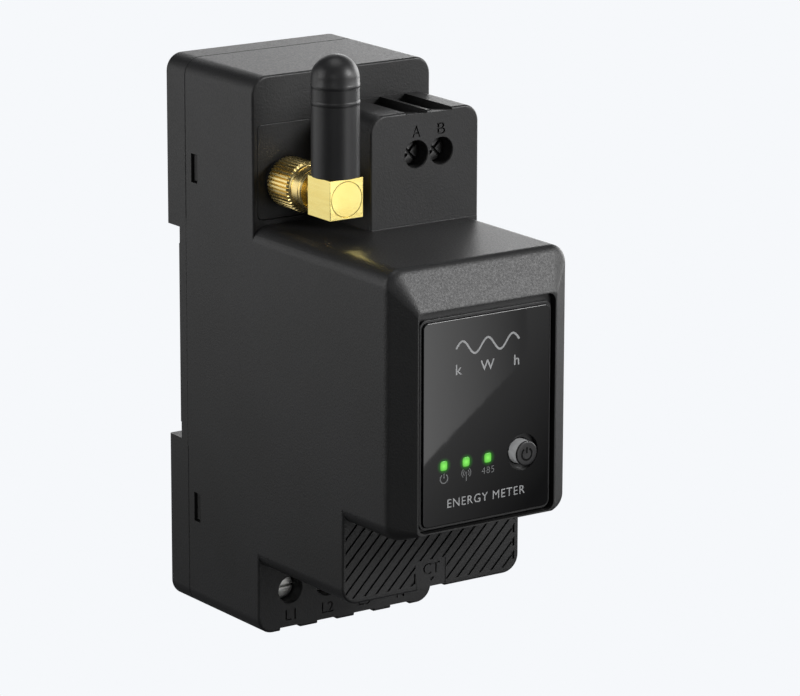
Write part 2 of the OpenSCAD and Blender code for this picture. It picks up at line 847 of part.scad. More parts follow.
// Knurled grip, smooth shoulder, and a groove for the retaining ring.
module coupling_nut() {
    shoulder_r = 3.7;
    seat_d = nut_d[2] - 1.8;
    groove_r = ring_r[1] + 0.07;
    color("goldenrod")
        difference() {
            union() {
                rod(sma_x, sma_h, nut_r, [nut_d[0], nut_d[1]]);
                rod(sma_x, sma_h, shoulder_r, [nut_d[1] - 0.1, nut_d[2]]);
            }
            rod(sma_x, sma_h, jack_r + turn_gap, [nut_d[0] - 1, seat_d]);
            rod(sma_x, sma_h, plug_r + turn_gap, [nut_d[0], nut_d[2] + 1]);
            rod(sma_x, sma_h, groove_r, [ring_d[0] - turn_gap, ring_d[1] + turn_gap]);
        }
}

// Spring ring, open at the top by twice the half gap.
module retaining_ring() {
    half_gap = 0.5;
    through = [ring_d[0] - 1, ring_d[1] + 1];
    color("silver")
        difference() {
            rod(sma_x, sma_h, ring_r[1], ring_d);
            rod(sma_x, sma_h, ring_r[0], through);
            block([sma_x - half_gap, sma_x + half_gap], through, [sma_h, sma_h + nut_r]);
        }
}

module plug_body() {
    color("gold")
        difference() {
            union() {
                rod(sma_x, sma_h, jack_r, [jack_end + turn_gap, nut_d[2] - 1.9]);
                rod(sma_x, sma_h, plug_r, [jack_end + turn_gap, elbow_d[0]]);
            }
            rod(sma_x, sma_h, plug_bore_r, [jack_end - 1, elbow_d[0] + 1]);
            difference() {
                rod(sma_x, sma_h, jack_r + 1, ring_d);
                rod(sma_x, sma_h, ring_r[0], [ring_d[0] - 1, ring_d[1] + 1]);
            }
        }
}

module plug_insulator()
    color("white")
        difference() {
            rod(sma_x, sma_h, plug_bore_r, [jack_end + 0.3, elbow_d[0]]);
            rod(sma_x, sma_h, pin_r, [jack_end - 1, elbow_d[0] + 1]);
        }

module plug_contact()
    color("gold")
        rod(sma_x, sma_h, pin_r, [29.2, whip_d]);

// Square elbow with a cross bore, closed at the front by a round cap.
module elbow_block() {
    bore_r = 1.5;
    cap_seat_r = cap_r + 0.08;
    color("khaki")
        difference() {
            block([sma_x - elbow_half, sma_x + elbow_half], elbow_d, elbow_h);
            rod(sma_x, sma_h, bore_r, [elbow_d[0] - 1, cap_d + eps]);
            rod(sma_x, sma_h, cap_seat_r, [cap_d, elbow_d[1] + 1]);
            stick(sma_x, whip_d, bore_r, [sma_h, elbow_h[1] + 1]);
        }
}

module elbow_cap()
    color("khaki")
        rod(sma_x, sma_h, cap_r, [cap_d, elbow_d[1]]);

// Rubber sleeve with a domed top and two thin raised rings.
module whip_sleeve() {
    core_r = 2.7;
    core_top = 97;
    dome_h = whip_top - whip_r;
    ring_h = [93.9, 96.7];
    ring_w = 0.7;
    ring_proud = 0.12;
    color("dimgray")
        difference() {
            union() {
                stick(sma_x, whip_d, whip_r, [elbow_h[1], dome_h]);
                translate([sma_x, fy(whip_d), fz(dome_h)])
                    sphere(whip_r);
                for (h = ring_h)
                    stick(sma_x, whip_d, whip_r + ring_proud, [h, h + ring_w]);
            }
            stick(sma_x, whip_d, core_r, [elbow_h[1] - 1, core_top]);
        }
}

// Coiled radiator: a straight feed up the axis, then a helix inside the sleeve.
module radiator_coil() {
    wire_r = 0.35;
    coil_r = 1.9;
    turns = 6;
    per_turn = 10;
    coil_h = [83.4, 95.5];
    steps = turns * per_turn;
    feed = [[0, sma_h + pin_r], [0, 81.5], [0.4, 82.4], [1.2, 83]];
    lead = [for (p = feed) [sma_x + p[0], fy(whip_d), fz(p[1])]];
    helix = [for (i = [0:steps])
        let (a = 360 * i / per_turn, rise = (coil_h[1] - coil_h[0]) * i / steps)
            [sma_x + coil_r * cos(a), fy(whip_d) + coil_r * sin(a), fz(coil_h[0] + rise)]];
    color("peru")
        tube_along(concat(lead, helix), wire_r, 8);
}

rear_cover();
front_housing();
antenna_plate();
panel_carrier();
front_panel();
power_light();
radio_light();
bus_light();
led_chips();
button_cap();
switch_plunger();
tact_switch();
display_board();
riser_board();
power_board();
comms_board();
transformer_core();
transformer_winding();
bulk_capacitors();
mains_varistor();
metering_chip();
processor_chip();
radio_module();
radio_shield();
din_latch();
latch_spring();
mains_terminal_block();
mains_contacts();
screw_l1();
screw_l2();
screw_l3();
screw_n();
clamp_l1();
clamp_l2();
clamp_l3();
clamp_n();
bus_terminal_block();
bus_contacts();
screw_a();
screw_b();
clamp_a();
clamp_b();
ct_socket();
ct_pins();
sma_jack();
jack_washer();
jack_insulator();
jack_contact();
coupling_nut();
retaining_ring();
plug_body();
plug_insulator();
plug_contact();
elbow_block();
elbow_cap();
whip_sleeve();
radiator_coil();
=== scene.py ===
import math

import bmesh
import bpy
from mathutils import Matrix, Vector


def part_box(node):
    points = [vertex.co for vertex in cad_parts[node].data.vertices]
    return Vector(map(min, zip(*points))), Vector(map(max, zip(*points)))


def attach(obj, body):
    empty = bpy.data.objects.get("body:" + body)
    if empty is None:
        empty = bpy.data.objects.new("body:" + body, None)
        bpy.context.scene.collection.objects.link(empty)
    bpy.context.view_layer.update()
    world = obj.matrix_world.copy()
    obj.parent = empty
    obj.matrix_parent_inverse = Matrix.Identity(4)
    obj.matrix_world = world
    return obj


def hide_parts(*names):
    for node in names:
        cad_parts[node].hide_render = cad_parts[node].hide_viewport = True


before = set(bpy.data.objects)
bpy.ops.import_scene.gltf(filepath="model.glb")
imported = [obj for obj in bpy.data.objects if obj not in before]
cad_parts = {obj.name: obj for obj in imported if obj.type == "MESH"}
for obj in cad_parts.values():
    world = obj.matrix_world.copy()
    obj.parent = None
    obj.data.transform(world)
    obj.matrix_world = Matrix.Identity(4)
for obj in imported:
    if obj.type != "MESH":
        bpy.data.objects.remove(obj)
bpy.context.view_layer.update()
print("frame loaded:", len(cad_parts), "nodes")

# Everything below is written in millimetres: across, forward from the back edge, up from the underside
mm = 0.001
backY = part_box("rear_cover")[1].y
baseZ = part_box("front_housing")[0].z


def spot(x, depth, height):
    return Vector((x * mm, backY - depth * mm, baseZ + height * mm))


def extent(node):
    # a CAD node's box as ranges across, forward and up
    low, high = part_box(node)
    return ((low.x / mm, high.x / mm), ((backY - high.y) / mm, (backY - low.y) / mm),
            ((low.z - baseZ) / mm, (high.z - baseZ) / mm))


def newObject(name, data):
    piece = bpy.data.objects.new(name, data)
    bpy.context.scene.collection.objects.link(piece)
    return piece


def meshFrom(name, build):
    # runs build(bm) on an empty mesh and closes it with outward faces
    bm = bmesh.new()
    build(bm)
    bmesh.ops.recalc_face_normals(bm, faces=bm.faces)
    mesh = bpy.data.meshes.new(name)
    bm.to_mesh(mesh)
    bm.free()
    return newObject(name, mesh)


def skin(name, loops):
    # a closed skin over loops that all have the same number of points
    def build(bm):
        rings = [[bm.verts.new(point) for point in loop] for loop in loops]
        for near, far in zip(rings, rings[1:]):
            for i in range(len(near)):
                j = (i + 1) % len(near)
                bm.faces.new((near[i], near[j], far[j], far[i]))
        bm.faces.new(rings[0][::-1])
        bm.faces.new(rings[-1])
    return meshFrom(name, build)


def outline(x, h, corner, depth, steps):
    # a rounded rectangle at one depth
    if corner <= 0:
        return [spot(x[1], depth, h[0]), spot(x[1], depth, h[1]),
                spot(x[0], depth, h[1]), spot(x[0], depth, h[0])]
    points = []
    centres = ((x[1] - corner, h[0] + corner), (x[1] - corner, h[1] - corner),
               (x[0] + corner, h[1] - corner), (x[0] + corner, h[0] + corner))
    for quarter, (cx, ch) in enumerate(centres):
        for k in range(steps + 1):
            a = math.radians(90 * (quarter - 1 + k / steps))
            points.append(spot(cx + corner * math.cos(a), depth, ch + corner * math.sin(a)))
    return points


def slab(name, x, depth, h, corner=0, front=0, back=0):
    # a plate or block, with round corners seen from the front and round front and back edges
    steps = 10 if corner > 1 else 4
    turns = [math.radians(a) for a in (0, 22.5, 45, 67.5, 90)]
    rows = [(back * (1 - math.cos(a)), depth[0] + back * (1 - math.sin(a))) for a in turns[::-1]]
    rows += [(front * (1 - math.cos(a)), depth[1] - front * (1 - math.sin(a))) for a in turns]
    if not back:
        rows = [(0, depth[0])] + rows[5:]
    if not front:
        rows = [row for row in rows if row[1] <= depth[0] + back] + [(0, depth[1])]
    loops = [outline((x[0] + t, x[1] - t), (h[0] + t, h[1] - t), max(corner - t, 0.02) if corner else 0,
                     d, steps) for t, d in rows]
    return skin(name, loops)


def ramp(name, x, points):
    # an outline of (depth, height) points drawn out between two X values
    return skin(name, [[spot(side, d, h) for d, h in points] for side in x])


def lathe(name, profile, steps=64, teeth=0, dent=0):
    # turns (radius, along, knurled) points about the local Z axis; a radius of 0 closes the form
    def build(bm):
        rings = []
        for radius, along, *knurled in profile:
            if radius == 0:
                rings.append([bm.verts.new((0, 0, along * mm))])
                continue
            ring = []
            for k in range(steps):
                part = (k * teeth / steps) % 1
                r = radius - (dent * max(0, 1 - abs(4 * part - 2)) if knurled else 0)
                a = 2 * math.pi * k / steps
                ring.append(bm.verts.new((r * mm * math.cos(a), r * mm * math.sin(a), along * mm)))
            rings.append(ring)
        if len(rings[0]) > 1 and len(rings[-1]) > 1:
            rings.append(rings[0])
        for near, far in zip(rings, rings[1:]):
            if len(near) == 1 and len(far) == 1:
                continue
            for k in range(steps):
                j = (k + 1) % steps
                if len(near) == 1:
                    bm.faces.new((near[0], far[j], far[k]))
                elif len(far) == 1:
                    bm.faces.new((near[k], near[j], far[0]))
                else:
                    bm.faces.new((near[k], near[j], far[j], far[k]))
    return meshFrom(name, build)


def aim(piece, x, depth, height, upright=False):
    # stands a turned piece at a spot, its axis pointing forward or up
    turn = Matrix() if upright else Matrix.Rotation(math.radians(90), 4, "X")
    piece.matrix_world = Matrix.Translation(spot(x, depth, height)) @ turn
    return piece


def combine(piece, tool, how="DIFFERENCE"):
    # applies one Boolean and removes its tool
    mod = piece.modifiers.new(how, "BOOLEAN")
    mod.operation = how
    mod.solver = "EXACT"
    mod.object = tool
    bpy.context.view_layer.update()
    result = piece.evaluated_get(bpy.context.evaluated_depsgraph_get())
    mesh = bpy.data.meshes.new_from_object(result)
    piece.modifiers.clear()
    piece.data = mesh
    bpy.data.objects.remove(tool)
    return piece


def lettering(name, words, x, height, wide, tall, depth, thick, spacing=1.0, weight=0.0):
    # words as a thin solid of a given width and height, centred on x, its front at the given depth
    curve = bpy.data.curves.new(name, "FONT")
    curve.body = words
    curve.size = 1.4 * tall * mm
    curve.space_character = spacing
    curve.offset = weight * mm
    curve.extrude = thick * mm / 2
    curve.resolution_u = 4
    flat = newObject(name, curve)
    bpy.context.view_layer.update()
    mesh = bpy.data.meshes.new_from_object(flat.evaluated_get(bpy.context.evaluated_depsgraph_get()))
    bpy.data.objects.remove(flat)
    xs = [vert.co.x for vert in mesh.vertices]
    ys = [vert.co.y for vert in mesh.vertices]
    fit = Matrix.Diagonal((wide * mm / (max(xs) - min(xs)), tall * mm / (max(ys) - min(ys)), 1, 1))
    centre = Matrix.Translation((-(min(xs) + max(xs)) / 2, -min(ys), 0))
    upright = Matrix.Rotation(math.radians(90), 4, "X")
    stand = Matrix.Translation(spot(x, depth - thick / 2, height)) @ upright
    mesh.transform(stand @ fit @ centre)
    bm = bmesh.new()
    bm.from_mesh(mesh)
    bmesh.ops.remove_doubles(bm, verts=bm.verts, dist=0.002 * mm)
    bmesh.ops.recalc_face_normals(bm, faces=bm.faces)
    bm.to_mesh(mesh)
    bm.free()
    return newObject(name, mesh)


def stroke(name, points, width, depth, thick):
    # a line of even width through (x, height) points, as a thin solid
    lefts = []
    rights = []
    for i, here in enumerate(points):
        before = points[max(i - 1, 0)]
        after = points[min(i + 1, len(points) - 1)]
        along = (Vector(after) - Vector(before)).normalized()
        side = Vector((-along.y, along.x)) * width / 2
        lefts.append((here[0] + side.x, here[1] + side.y))
        rights.append((here[0] - side.x, here[1] - side.y))
    ring = lefts + rights[::-1]

    def build(bm):
        count = len(points)
        rows = [[bm.verts.new(spot(x, d, h)) for x, h in ring] for d in (depth - thick, depth)]
        for row in rows:
            for i in range(count - 1):
                bm.faces.new((row[i], row[i + 1], row[2 * count - 2 - i], row[2 * count - 1 - i]))
        for i in range(2 * count):
            j = (i + 1) % (2 * count)
            bm.faces.new((rows[0][i], rows[0][j], rows[1][j], rows[1][i]))
    return meshFrom(name, build)


def arc(cx, ch, radius, start, end, steps=16):
    angles = [math.radians(start + (end - start) * k / steps) for k in range(steps + 1)]
    return [(cx + radius * math.cos(a), ch + radius * math.sin(a)) for a in angles]


def together(name, parts):
    # joins separate solids into one piece, without cutting them
    bm = bmesh.new()
    for part in parts:
        part.data.transform(part.matrix_world)
        bm.from_mesh(part.data)
        bpy.data.objects.remove(part)
    mesh = bpy.data.meshes.new(name)
    bm.to_mesh(mesh)
    bm.free()
    return newObject(name, mesh)


def complete(piece, body, material, *nodes, crease=35):
    # shading, finish, body and the CAD nodes that the piece stands for
    piece.data.materials.clear()
    piece.data.materials.append(material)
    piece.data.polygons.foreach_set("use_smooth", [True] * len(piece.data.polygons))
    piece.data.set_sharp_from_angle(angle=math.radians(crease))
    weigh = piece.modifiers.new("weigh", "WEIGHTED_NORMAL")
    weigh.keep_sharp = True
    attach(piece, body)
    if nodes:
        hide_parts(*nodes)
    return piece


def linear(code):
    # sRGB hex to the linear colour that shaders take
    parts = [int(code[i:i + 2], 16) / 255 for i in (1, 3, 5)]
    return [c / 12.92 if c <= 0.04045 else ((c + 0.055) / 1.055) ** 2.4 for c in parts] + [1]


def addNode(tree, kind, inputs=None, links=None, **settings):
    node = tree.nodes.new("ShaderNode" + kind)
    for name, value in settings.items():
        setattr(node, name, value)
    for name, value in (inputs or {}).items():
        node.inputs[name].default_value = value
    for name, source in (links or {}).items():
        tree.links.new(source, node.inputs[name])
    return node


def surface(name, tones, cloud, grain, depth, rough, metallic=0, ior=1.5, stretch=(1, 1, 1)):
    # two tones in soft clouds, and a fine grain that drives roughness and bump; sizes are millimetres
    material = bpy.data.materials.new(name)
    material.use_nodes = True
    tree = material.node_tree
    shader = tree.nodes["Principled BSDF"]
    shader.inputs["Metallic"].default_value = metallic
    if not metallic:
        shader.inputs["IOR"].default_value = ior
    place = addNode(tree, "TexCoord").outputs["Object"]
    drawn = addNode(tree, "Mapping", {"Scale": stretch}, {"Vector": place}).outputs["Vector"]
    clouds = addNode(tree, "TexNoise", {"Scale": 1000 / cloud, "Detail": 4}, {"Vector": drawn})
    grains = addNode(tree, "TexNoise", {"Scale": 1000 / grain, "Detail": 3}, {"Vector": drawn})
    blend = addNode(tree, "ValToRGB", links={"Fac": clouds.outputs["Fac"]})
    for stop, where, tone in zip(blend.color_ramp.elements, (0.35, 0.65), tones):
        stop.position = where
        stop.color = linear(tone)
    height = grains.outputs["Fac"]
    limits = {"From Min": 0.3, "From Max": 0.7, "To Min": rough[0], "To Max": rough[1]}
    gloss = addNode(tree, "MapRange", limits, {"Value": height})
    relief = addNode(tree, "Bump", {"Distance": depth * mm, "Strength": 1}, {"Height": height})
    tree.links.new(blend.outputs["Color"], shader.inputs["Base Color"])
    tree.links.new(gloss.outputs["Result"], shader.inputs["Roughness"])
    tree.links.new(relief.outputs["Normal"], shader.inputs["Normal"])
    return material


# PC/ABS moulded in a spark-eroded tool: an even, dry grain that breaks up every reflection.
# The real grit is about 0.1 mm; it is drawn at 0.32 mm so that it shows.
caseGrained = surface("PC-ABS black, spark-eroded mould", ("#191919", "#1f1f20"), 14, 0.32, 0.034,
                      (0.42, 0.54))
# The same plastic off a finer tool face, a little smoother to the eye
frameSatin = surface("ABS black, satin mould", ("#151516", "#19191a"), 9, 0.4, 0.008, (0.38, 0.48))
buttonSatin = surface("ABS dark grey, satin mould", ("#1f1f20", "#262627"), 3, 0.25, 0.004, (0.32, 0.42))
# Dull black ABS, darkened as painted shade: the foot of the button disappears into the shade of its dish
paintedShadeBlack = surface("ABS black dull, painted dish shade", ("#0c0c0c", "#111111"), 3, 0.3, 0.01, (0.7, 0.8))
# Pale satin ABS, a painted highlight on the button's wall: the sleeve round the button catches a light
# crescent
paintedHighlightSatin = surface("ABS light grey satin, painted highlight", ("#bcbdbe", "#c9cacb"), 2, 0.2, 0.002, (0.34, 0.44))
# Flat black ink wiped into the button's engraving: it stays dark beside the satin face
markInk = surface("epoxy ink, black, filled", ("#060606", "#0a0a0a"), 1, 0.2, 0.003, (0.8, 0.9), ior=1.3)
# Screen-printed epoxy inks: a flat silver grey, and a thinner coat that reads darker
screenInk = surface("epoxy ink, silver grey, screen printed", ("#a3a4a5", "#b2b3b4"), 1.5, 0.15, 0.002,
                    (0.38, 0.5))
thinInk = surface("epoxy ink, mid grey, screen printed thin", ("#6f7071", "#7b7c7d"), 1.5, 0.15, 0.002,
                  (0.4, 0.5))
# Mouldings at the back and in the terminals: POM is a little waxy, nylon is drier
latchSatin = surface("POM black, moulded", ("#1c1c1d", "#222223"), 6, 0.5, 0.01, (0.36, 0.46), ior=1.48)
terminalMatte = surface("PA66 black, moulded", ("#1a1a1b", "#202021"), 5, 0.4, 0.012, (0.5, 0.62), ior=1.53)
socketIvory = surface("PA66 ivory, moulded", ("#d6cfb8", "#ddd7c3"), 4, 0.4, 0.008, (0.42, 0.52), ior=1.53)
# Smooth TPE gives the whip soft, broad highlights; die-cut EPDM is dull
whipRubber = surface("TPE black, moulded smooth", ("#1d1d1e", "#232324"), 5, 0.22, 0.01, (0.36, 0.46))
washerRubber = surface("EPDM black, die cut", ("#161616", "#1b1b1b"), 2, 0.25, 0.01, (0.6, 0.75))
# Turned PTFE: milky white, with fine tool rings
ptfeTurned = surface("PTFE white, turned", ("#e6e6e0", "#efefea"), 1.5, 0.1, 0.003, (0.4, 0.5), ior=1.35,
                     stretch=(1, 6, 1))
# Solder mask over copper: glossy and tinted, with a faint unevenness
boardMask = surface("FR4 with green solder mask", ("#1d5c33", "#23683b"), 7, 0.6, 0.012, (0.3, 0.42))
moduleMask = surface("FR4 with teal solder mask", ("#15505a", "#1b5c66"), 5, 0.5, 0.01, (0.3, 0.4))
# Moulded packages: dry dark epoxy, and warm white plastic round the LED chips
chipEpoxy = surface("epoxy black, transfer moulded", ("#1b1b1c", "#222223"), 2, 0.18, 0.01, (0.48, 0.6))
ledBody = surface("PPA white, moulded", ("#e8e4cf", "#f0ecd8"), 0.6, 0.1, 0.003, (0.4, 0.5))
# Power supply: lapped amber tape, shrunk sleeve, and dipped epoxy with a wet gloss
windingTape = surface("polyester tape, amber, wound", ("#c79a2c", "#d6aa3a"), 6, 0.7, 0.02, (0.3, 0.42),
                      stretch=(1, 1, 5))
sleeveBlue = surface("PVC sleeve, dark blue, shrunk", ("#16213f", "#1c2a4c"), 5, 0.8, 0.02, (0.28, 0.38))
varistorBlue = surface("epoxy blue, dipped", ("#1f4b9b", "#2757ab"), 3, 0.6, 0.04, (0.25, 0.35))
# Varnished laminations: dark grey steel with fine parallel lines
coreSteel = surface("silicon steel, laminated and varnished", ("#4a4b4e", "#606166"), 3, 0.35, 0.03,
                    (0.35, 0.5), metallic=1, stretch=(1, 8, 1))
# Thin sheet and wire: stamped, tinned or zinc plated, each with a soft satin shine
stampedSteel = surface("nickel silver, stamped", ("#a9a9a8", "#bababa"), 2, 0.3, 0.004, (0.28, 0.4),
                       metallic=1)
tinPlate = surface("tinned steel, drawn", ("#b4b4b0", "#c4c4c0"), 3, 0.35, 0.006, (0.3, 0.42), metallic=1)
zincPlate = surface("steel, zinc plated", ("#aab0b4", "#bdc3c8"), 1.6, 0.3, 0.006, (0.3, 0.45), metallic=1)
springWire = surface("spring steel, drawn wire", ("#8f9093", "#a2a3a6"), 1, 0.15, 0.003, (0.25, 0.38),
                     metallic=1, stretch=(1, 1, 4))
tinnedBrass = surface("brass, tinned strip", ("#b7a473", "#c8b684"), 2, 0.3, 0.004, (0.28, 0.4), metallic=1)
enamelCopper = surface("copper wire, enamelled", ("#a9542d", "#bb6438"), 1, 0.2, 0.003, (0.22, 0.32),
                       metallic=1)
# Screws turned from bar: bright nickel on the mains ones, a dull blackening on the bus ones
nickelTurned = surface("steel screw, nickel plated", ("#dededb", "#e9e9e6"), 1.2, 0.22, 0.006, (0.42, 0.52),
                       metallic=1)
blackTurned = surface("steel screw, blackened", ("#565656", "#666666"), 1.2, 0.22, 0.008, (0.4, 0.5),
                      metallic=1)
# Gold flash over brass: the knurled nut reads darker and warmer, the milled elbow pale and bright
goldKnurled = surface("brass, knurled and gold flashed", ("#ecd28a", "#f3dc98"), 1.5, 0.2, 0.0015,
                      (0.2, 0.32), metallic=1)
goldMilled = surface("brass, milled and gold flashed", ("#f8e28a", "#fce994"), 4, 0.16, 0.001, (0.22, 0.28),
                     metallic=1, stretch=(1, 1, 7))


def litLens(name, centre):
    # Clear green PMMA light guide with the LED right behind it: bright in the middle, deeper at the rim
    material = surface(name, ("#1f8a16", "#2c9a22"), 0.8, 0.2, 0.002, (0.2, 0.3), ior=1.49)
    tree = material.node_tree
    shader = tree.nodes["Principled BSDF"]
    place = addNode(tree, "TexCoord").outputs["Object"]
    away = addNode(tree, "VectorMath", links={0: place}, operation="DISTANCE")
    away.inputs[1].default_value = centre
    glow = addNode(tree, "MapRange", {"From Min": 0, "From Max": 0.9 * mm, "To Min": 0.8, "To Max": 0.25},
                   {"Value": away.outputs["Value"]})
    shader.inputs["Emission Color"].default_value = linear("#93f865")
    tree.links.new(glow.outputs["Result"], shader.inputs["Emission Strength"])
    return material


def panelGloss(centres):
    # Polished black acrylic: mirror-like, with a faint wave from moulding, and lit green round each light
    material = surface("PMMA black, polished", ("#0e0e0f", "#111112"), 20, 6, 0.003, (0.015, 0.03),
                       ior=1.52)
    tree = material.node_tree
    shader = tree.nodes["Principled BSDF"]
    place = addNode(tree, "TexCoord").outputs["Object"]
    total = None
    for centre in centres:
        away = addNode(tree, "VectorMath", links={0: place}, operation="DISTANCE")
        away.inputs[1].default_value = centre
        fall = {"From Min": 0.6 * mm, "From Max": 1.5 * mm, "To Min": 0.14, "To Max": 0}
        halo = addNode(tree, "MapRange", fall, {"Value": away.outputs["Value"]},
                       interpolation_type="SMOOTHSTEP")
        if total is None:
            total = halo.outputs["Result"]
        else:
            total = addNode(tree, "Math", links={0: total, 1: halo.outputs["Result"]}).outputs["Value"]
    shader.inputs["Emission Color"].default_value = linear("#3fdc22")
    tree.links.new(total, shader.inputs["Emission Strength"])
    return material


print("materials ready:", len(bpy.data.materials))

(caseX, _, caseH) = extent("front_housing")
coverDepth = 6.1

housing = {
    "wall": 1.8,
    "corner": 3,
    "softEdge": 0.4,
    "seam": 0.2,
    "upperDepth": 27,
    "lowerDepth": 28,
    "ribbedDepth": 53.5,
    "ribbedFoot": 11.9,
    "noseHeights": (25.9, 71.2),
    "noseDepths": (65.9, 69),
    "noseBevel": {"side": 4.1, "foot": 1.1, "top": 6.9},
    "rimCorner": 0.8,
    "busX": (-3.9, caseX[1]),
    "busTop": 90.45,
    "busDepth": 41.1,
    "busCorner": 2.9,
    "pocketX": 13.65,
    "pocketHeights": (27.25, 64.1),
    "pocketDepth": 66.6,
    "windowDepths": (7.9, 9.8),
    "windowHeights": ((75.4, 80.4), (15.55, 20.7)),
    "lowerTop": 48,  # the blocks end inside one another
    "ribbedTop": 50,
    "busFoot": 60,
    "bead": 0.22,
    "hollowCorner": 1.2,
    "pocketCorner": 1.4,
    "panelOpening": ((-12.1, 12.1), (28.8, 62.5)),
    "wireWay": 2.15,  # half the width of a mains wire way
    "busWay": 2.2,
    "jackHole": 3.6,
    "socketX": (-2.8, 2.8),
    "socketDepths": (41.8, 48.2),
    "notchDepths": (48, 54.5),
    "markField": ((-3.15, 2.85), 16.85),
}

mainsX = [(i - 1.5) * 7.62 for i in range(4)]
mainsHeight = 7.1
mainsWell = 2.35
busX = [7.85 - 2.54, 7.85 + 2.54]
busScrewHeight = 83.2
busWell = 2.3
connector = {"x": -11.6, "height": 78.4}


def bezier(a, b, c, steps=5):
    return [tuple((1 - t) ** 2 * p + 2 * t * (1 - t) * q + t * t * r for p, q, r in zip(a, b, c))
            for t in (k / steps for k in range(steps + 1))]


def noseShape(h):
    # share of the bevel against depth: a soft start, a straight slope, and a crisp rim
    start, face = h["noseDepths"]
    slope = face - start
    rows = [(0, coverDepth)]
    rows += bezier((0, start - 0.9), (0, start), (0.17, start + 0.17 * slope))
    rows += bezier((0.93, start + 0.93 * slope), (1, face), (1.02, face))
    bevel = h["noseBevel"]
    loops = []
    for share, depth in rows:
        side = share * bevel["side"]
        corner = h["corner"] + (h["rimCorner"] - h["corner"]) * min(share, 1)
        low = h["noseHeights"][0] + share * bevel["foot"]
        high = h["noseHeights"][1] - share * bevel["top"]
        loops.append(outline((caseX[0] + side, caseX[1] - side), (low, high), corner, depth, 12))
    return skin("nose", loops)


def wellTool(x, height, radius, face, deep):
    # a round well with a small flare at its mouth
    flare = 0.14
    tool = lathe("well", [(0, -deep), (radius, -deep), (radius, -flare), (radius + flare, 0.001),
                          (radius + flare, 1), (0, 1)], 48)
    return aim(tool, x, face, height)


def grooveTools(h):
    # slanting grooves over the ribbed step, clipped to their field and kept off the socket's mark
    pitch = 2.35
    wide = 0.4
    deep = 0.35
    field = (-17.4, 17.1)
    heights = (12.9, 25.6)
    mark = ((-3.3, 3), 17)
    face = h["ribbedDepth"]
    across = wide * math.sqrt(2) / 2
    rise = heights[1] - heights[0]
    bars = []
    for i in range(math.ceil((field[1] - field[0] + rise) / pitch) + 1):
        start = field[0] - rise + i * pitch
        low, high = (heights[0] - 1, heights[1] + 1)
        loop = [(start + low - heights[0] - across, low), (start + low - heights[0] + across, low),
                (start + high - heights[0] + across, high), (start + high - heights[0] - across, high)]
        bars.append(skin("bar", [[spot(x, d, up) for x, up in loop] for d in (face - deep, face + 1)]))
    grooves = together("grooves", bars)
    combine(grooves, slab("field", field, (face - 1, face + 2), heights), "INTERSECT")
    combine(grooves, slab("mark", mark[0], (face - 1, face + 2), (heights[0] - 1, mark[1])))
    ticks = [slab("tick", (field[1] - wide, field[1]), (face - deep, face + 1),
                  (heights[0] + 1.2 + i * pitch, heights[0] + 2.3 + i * pitch)) for i in range(5)]
    ticks.append(slab("tick", (mark[0][0] - 0.3, mark[0][0]), (face - deep, face + 1), (13.2, 15)))
    return grooves, together("ticks", ticks)


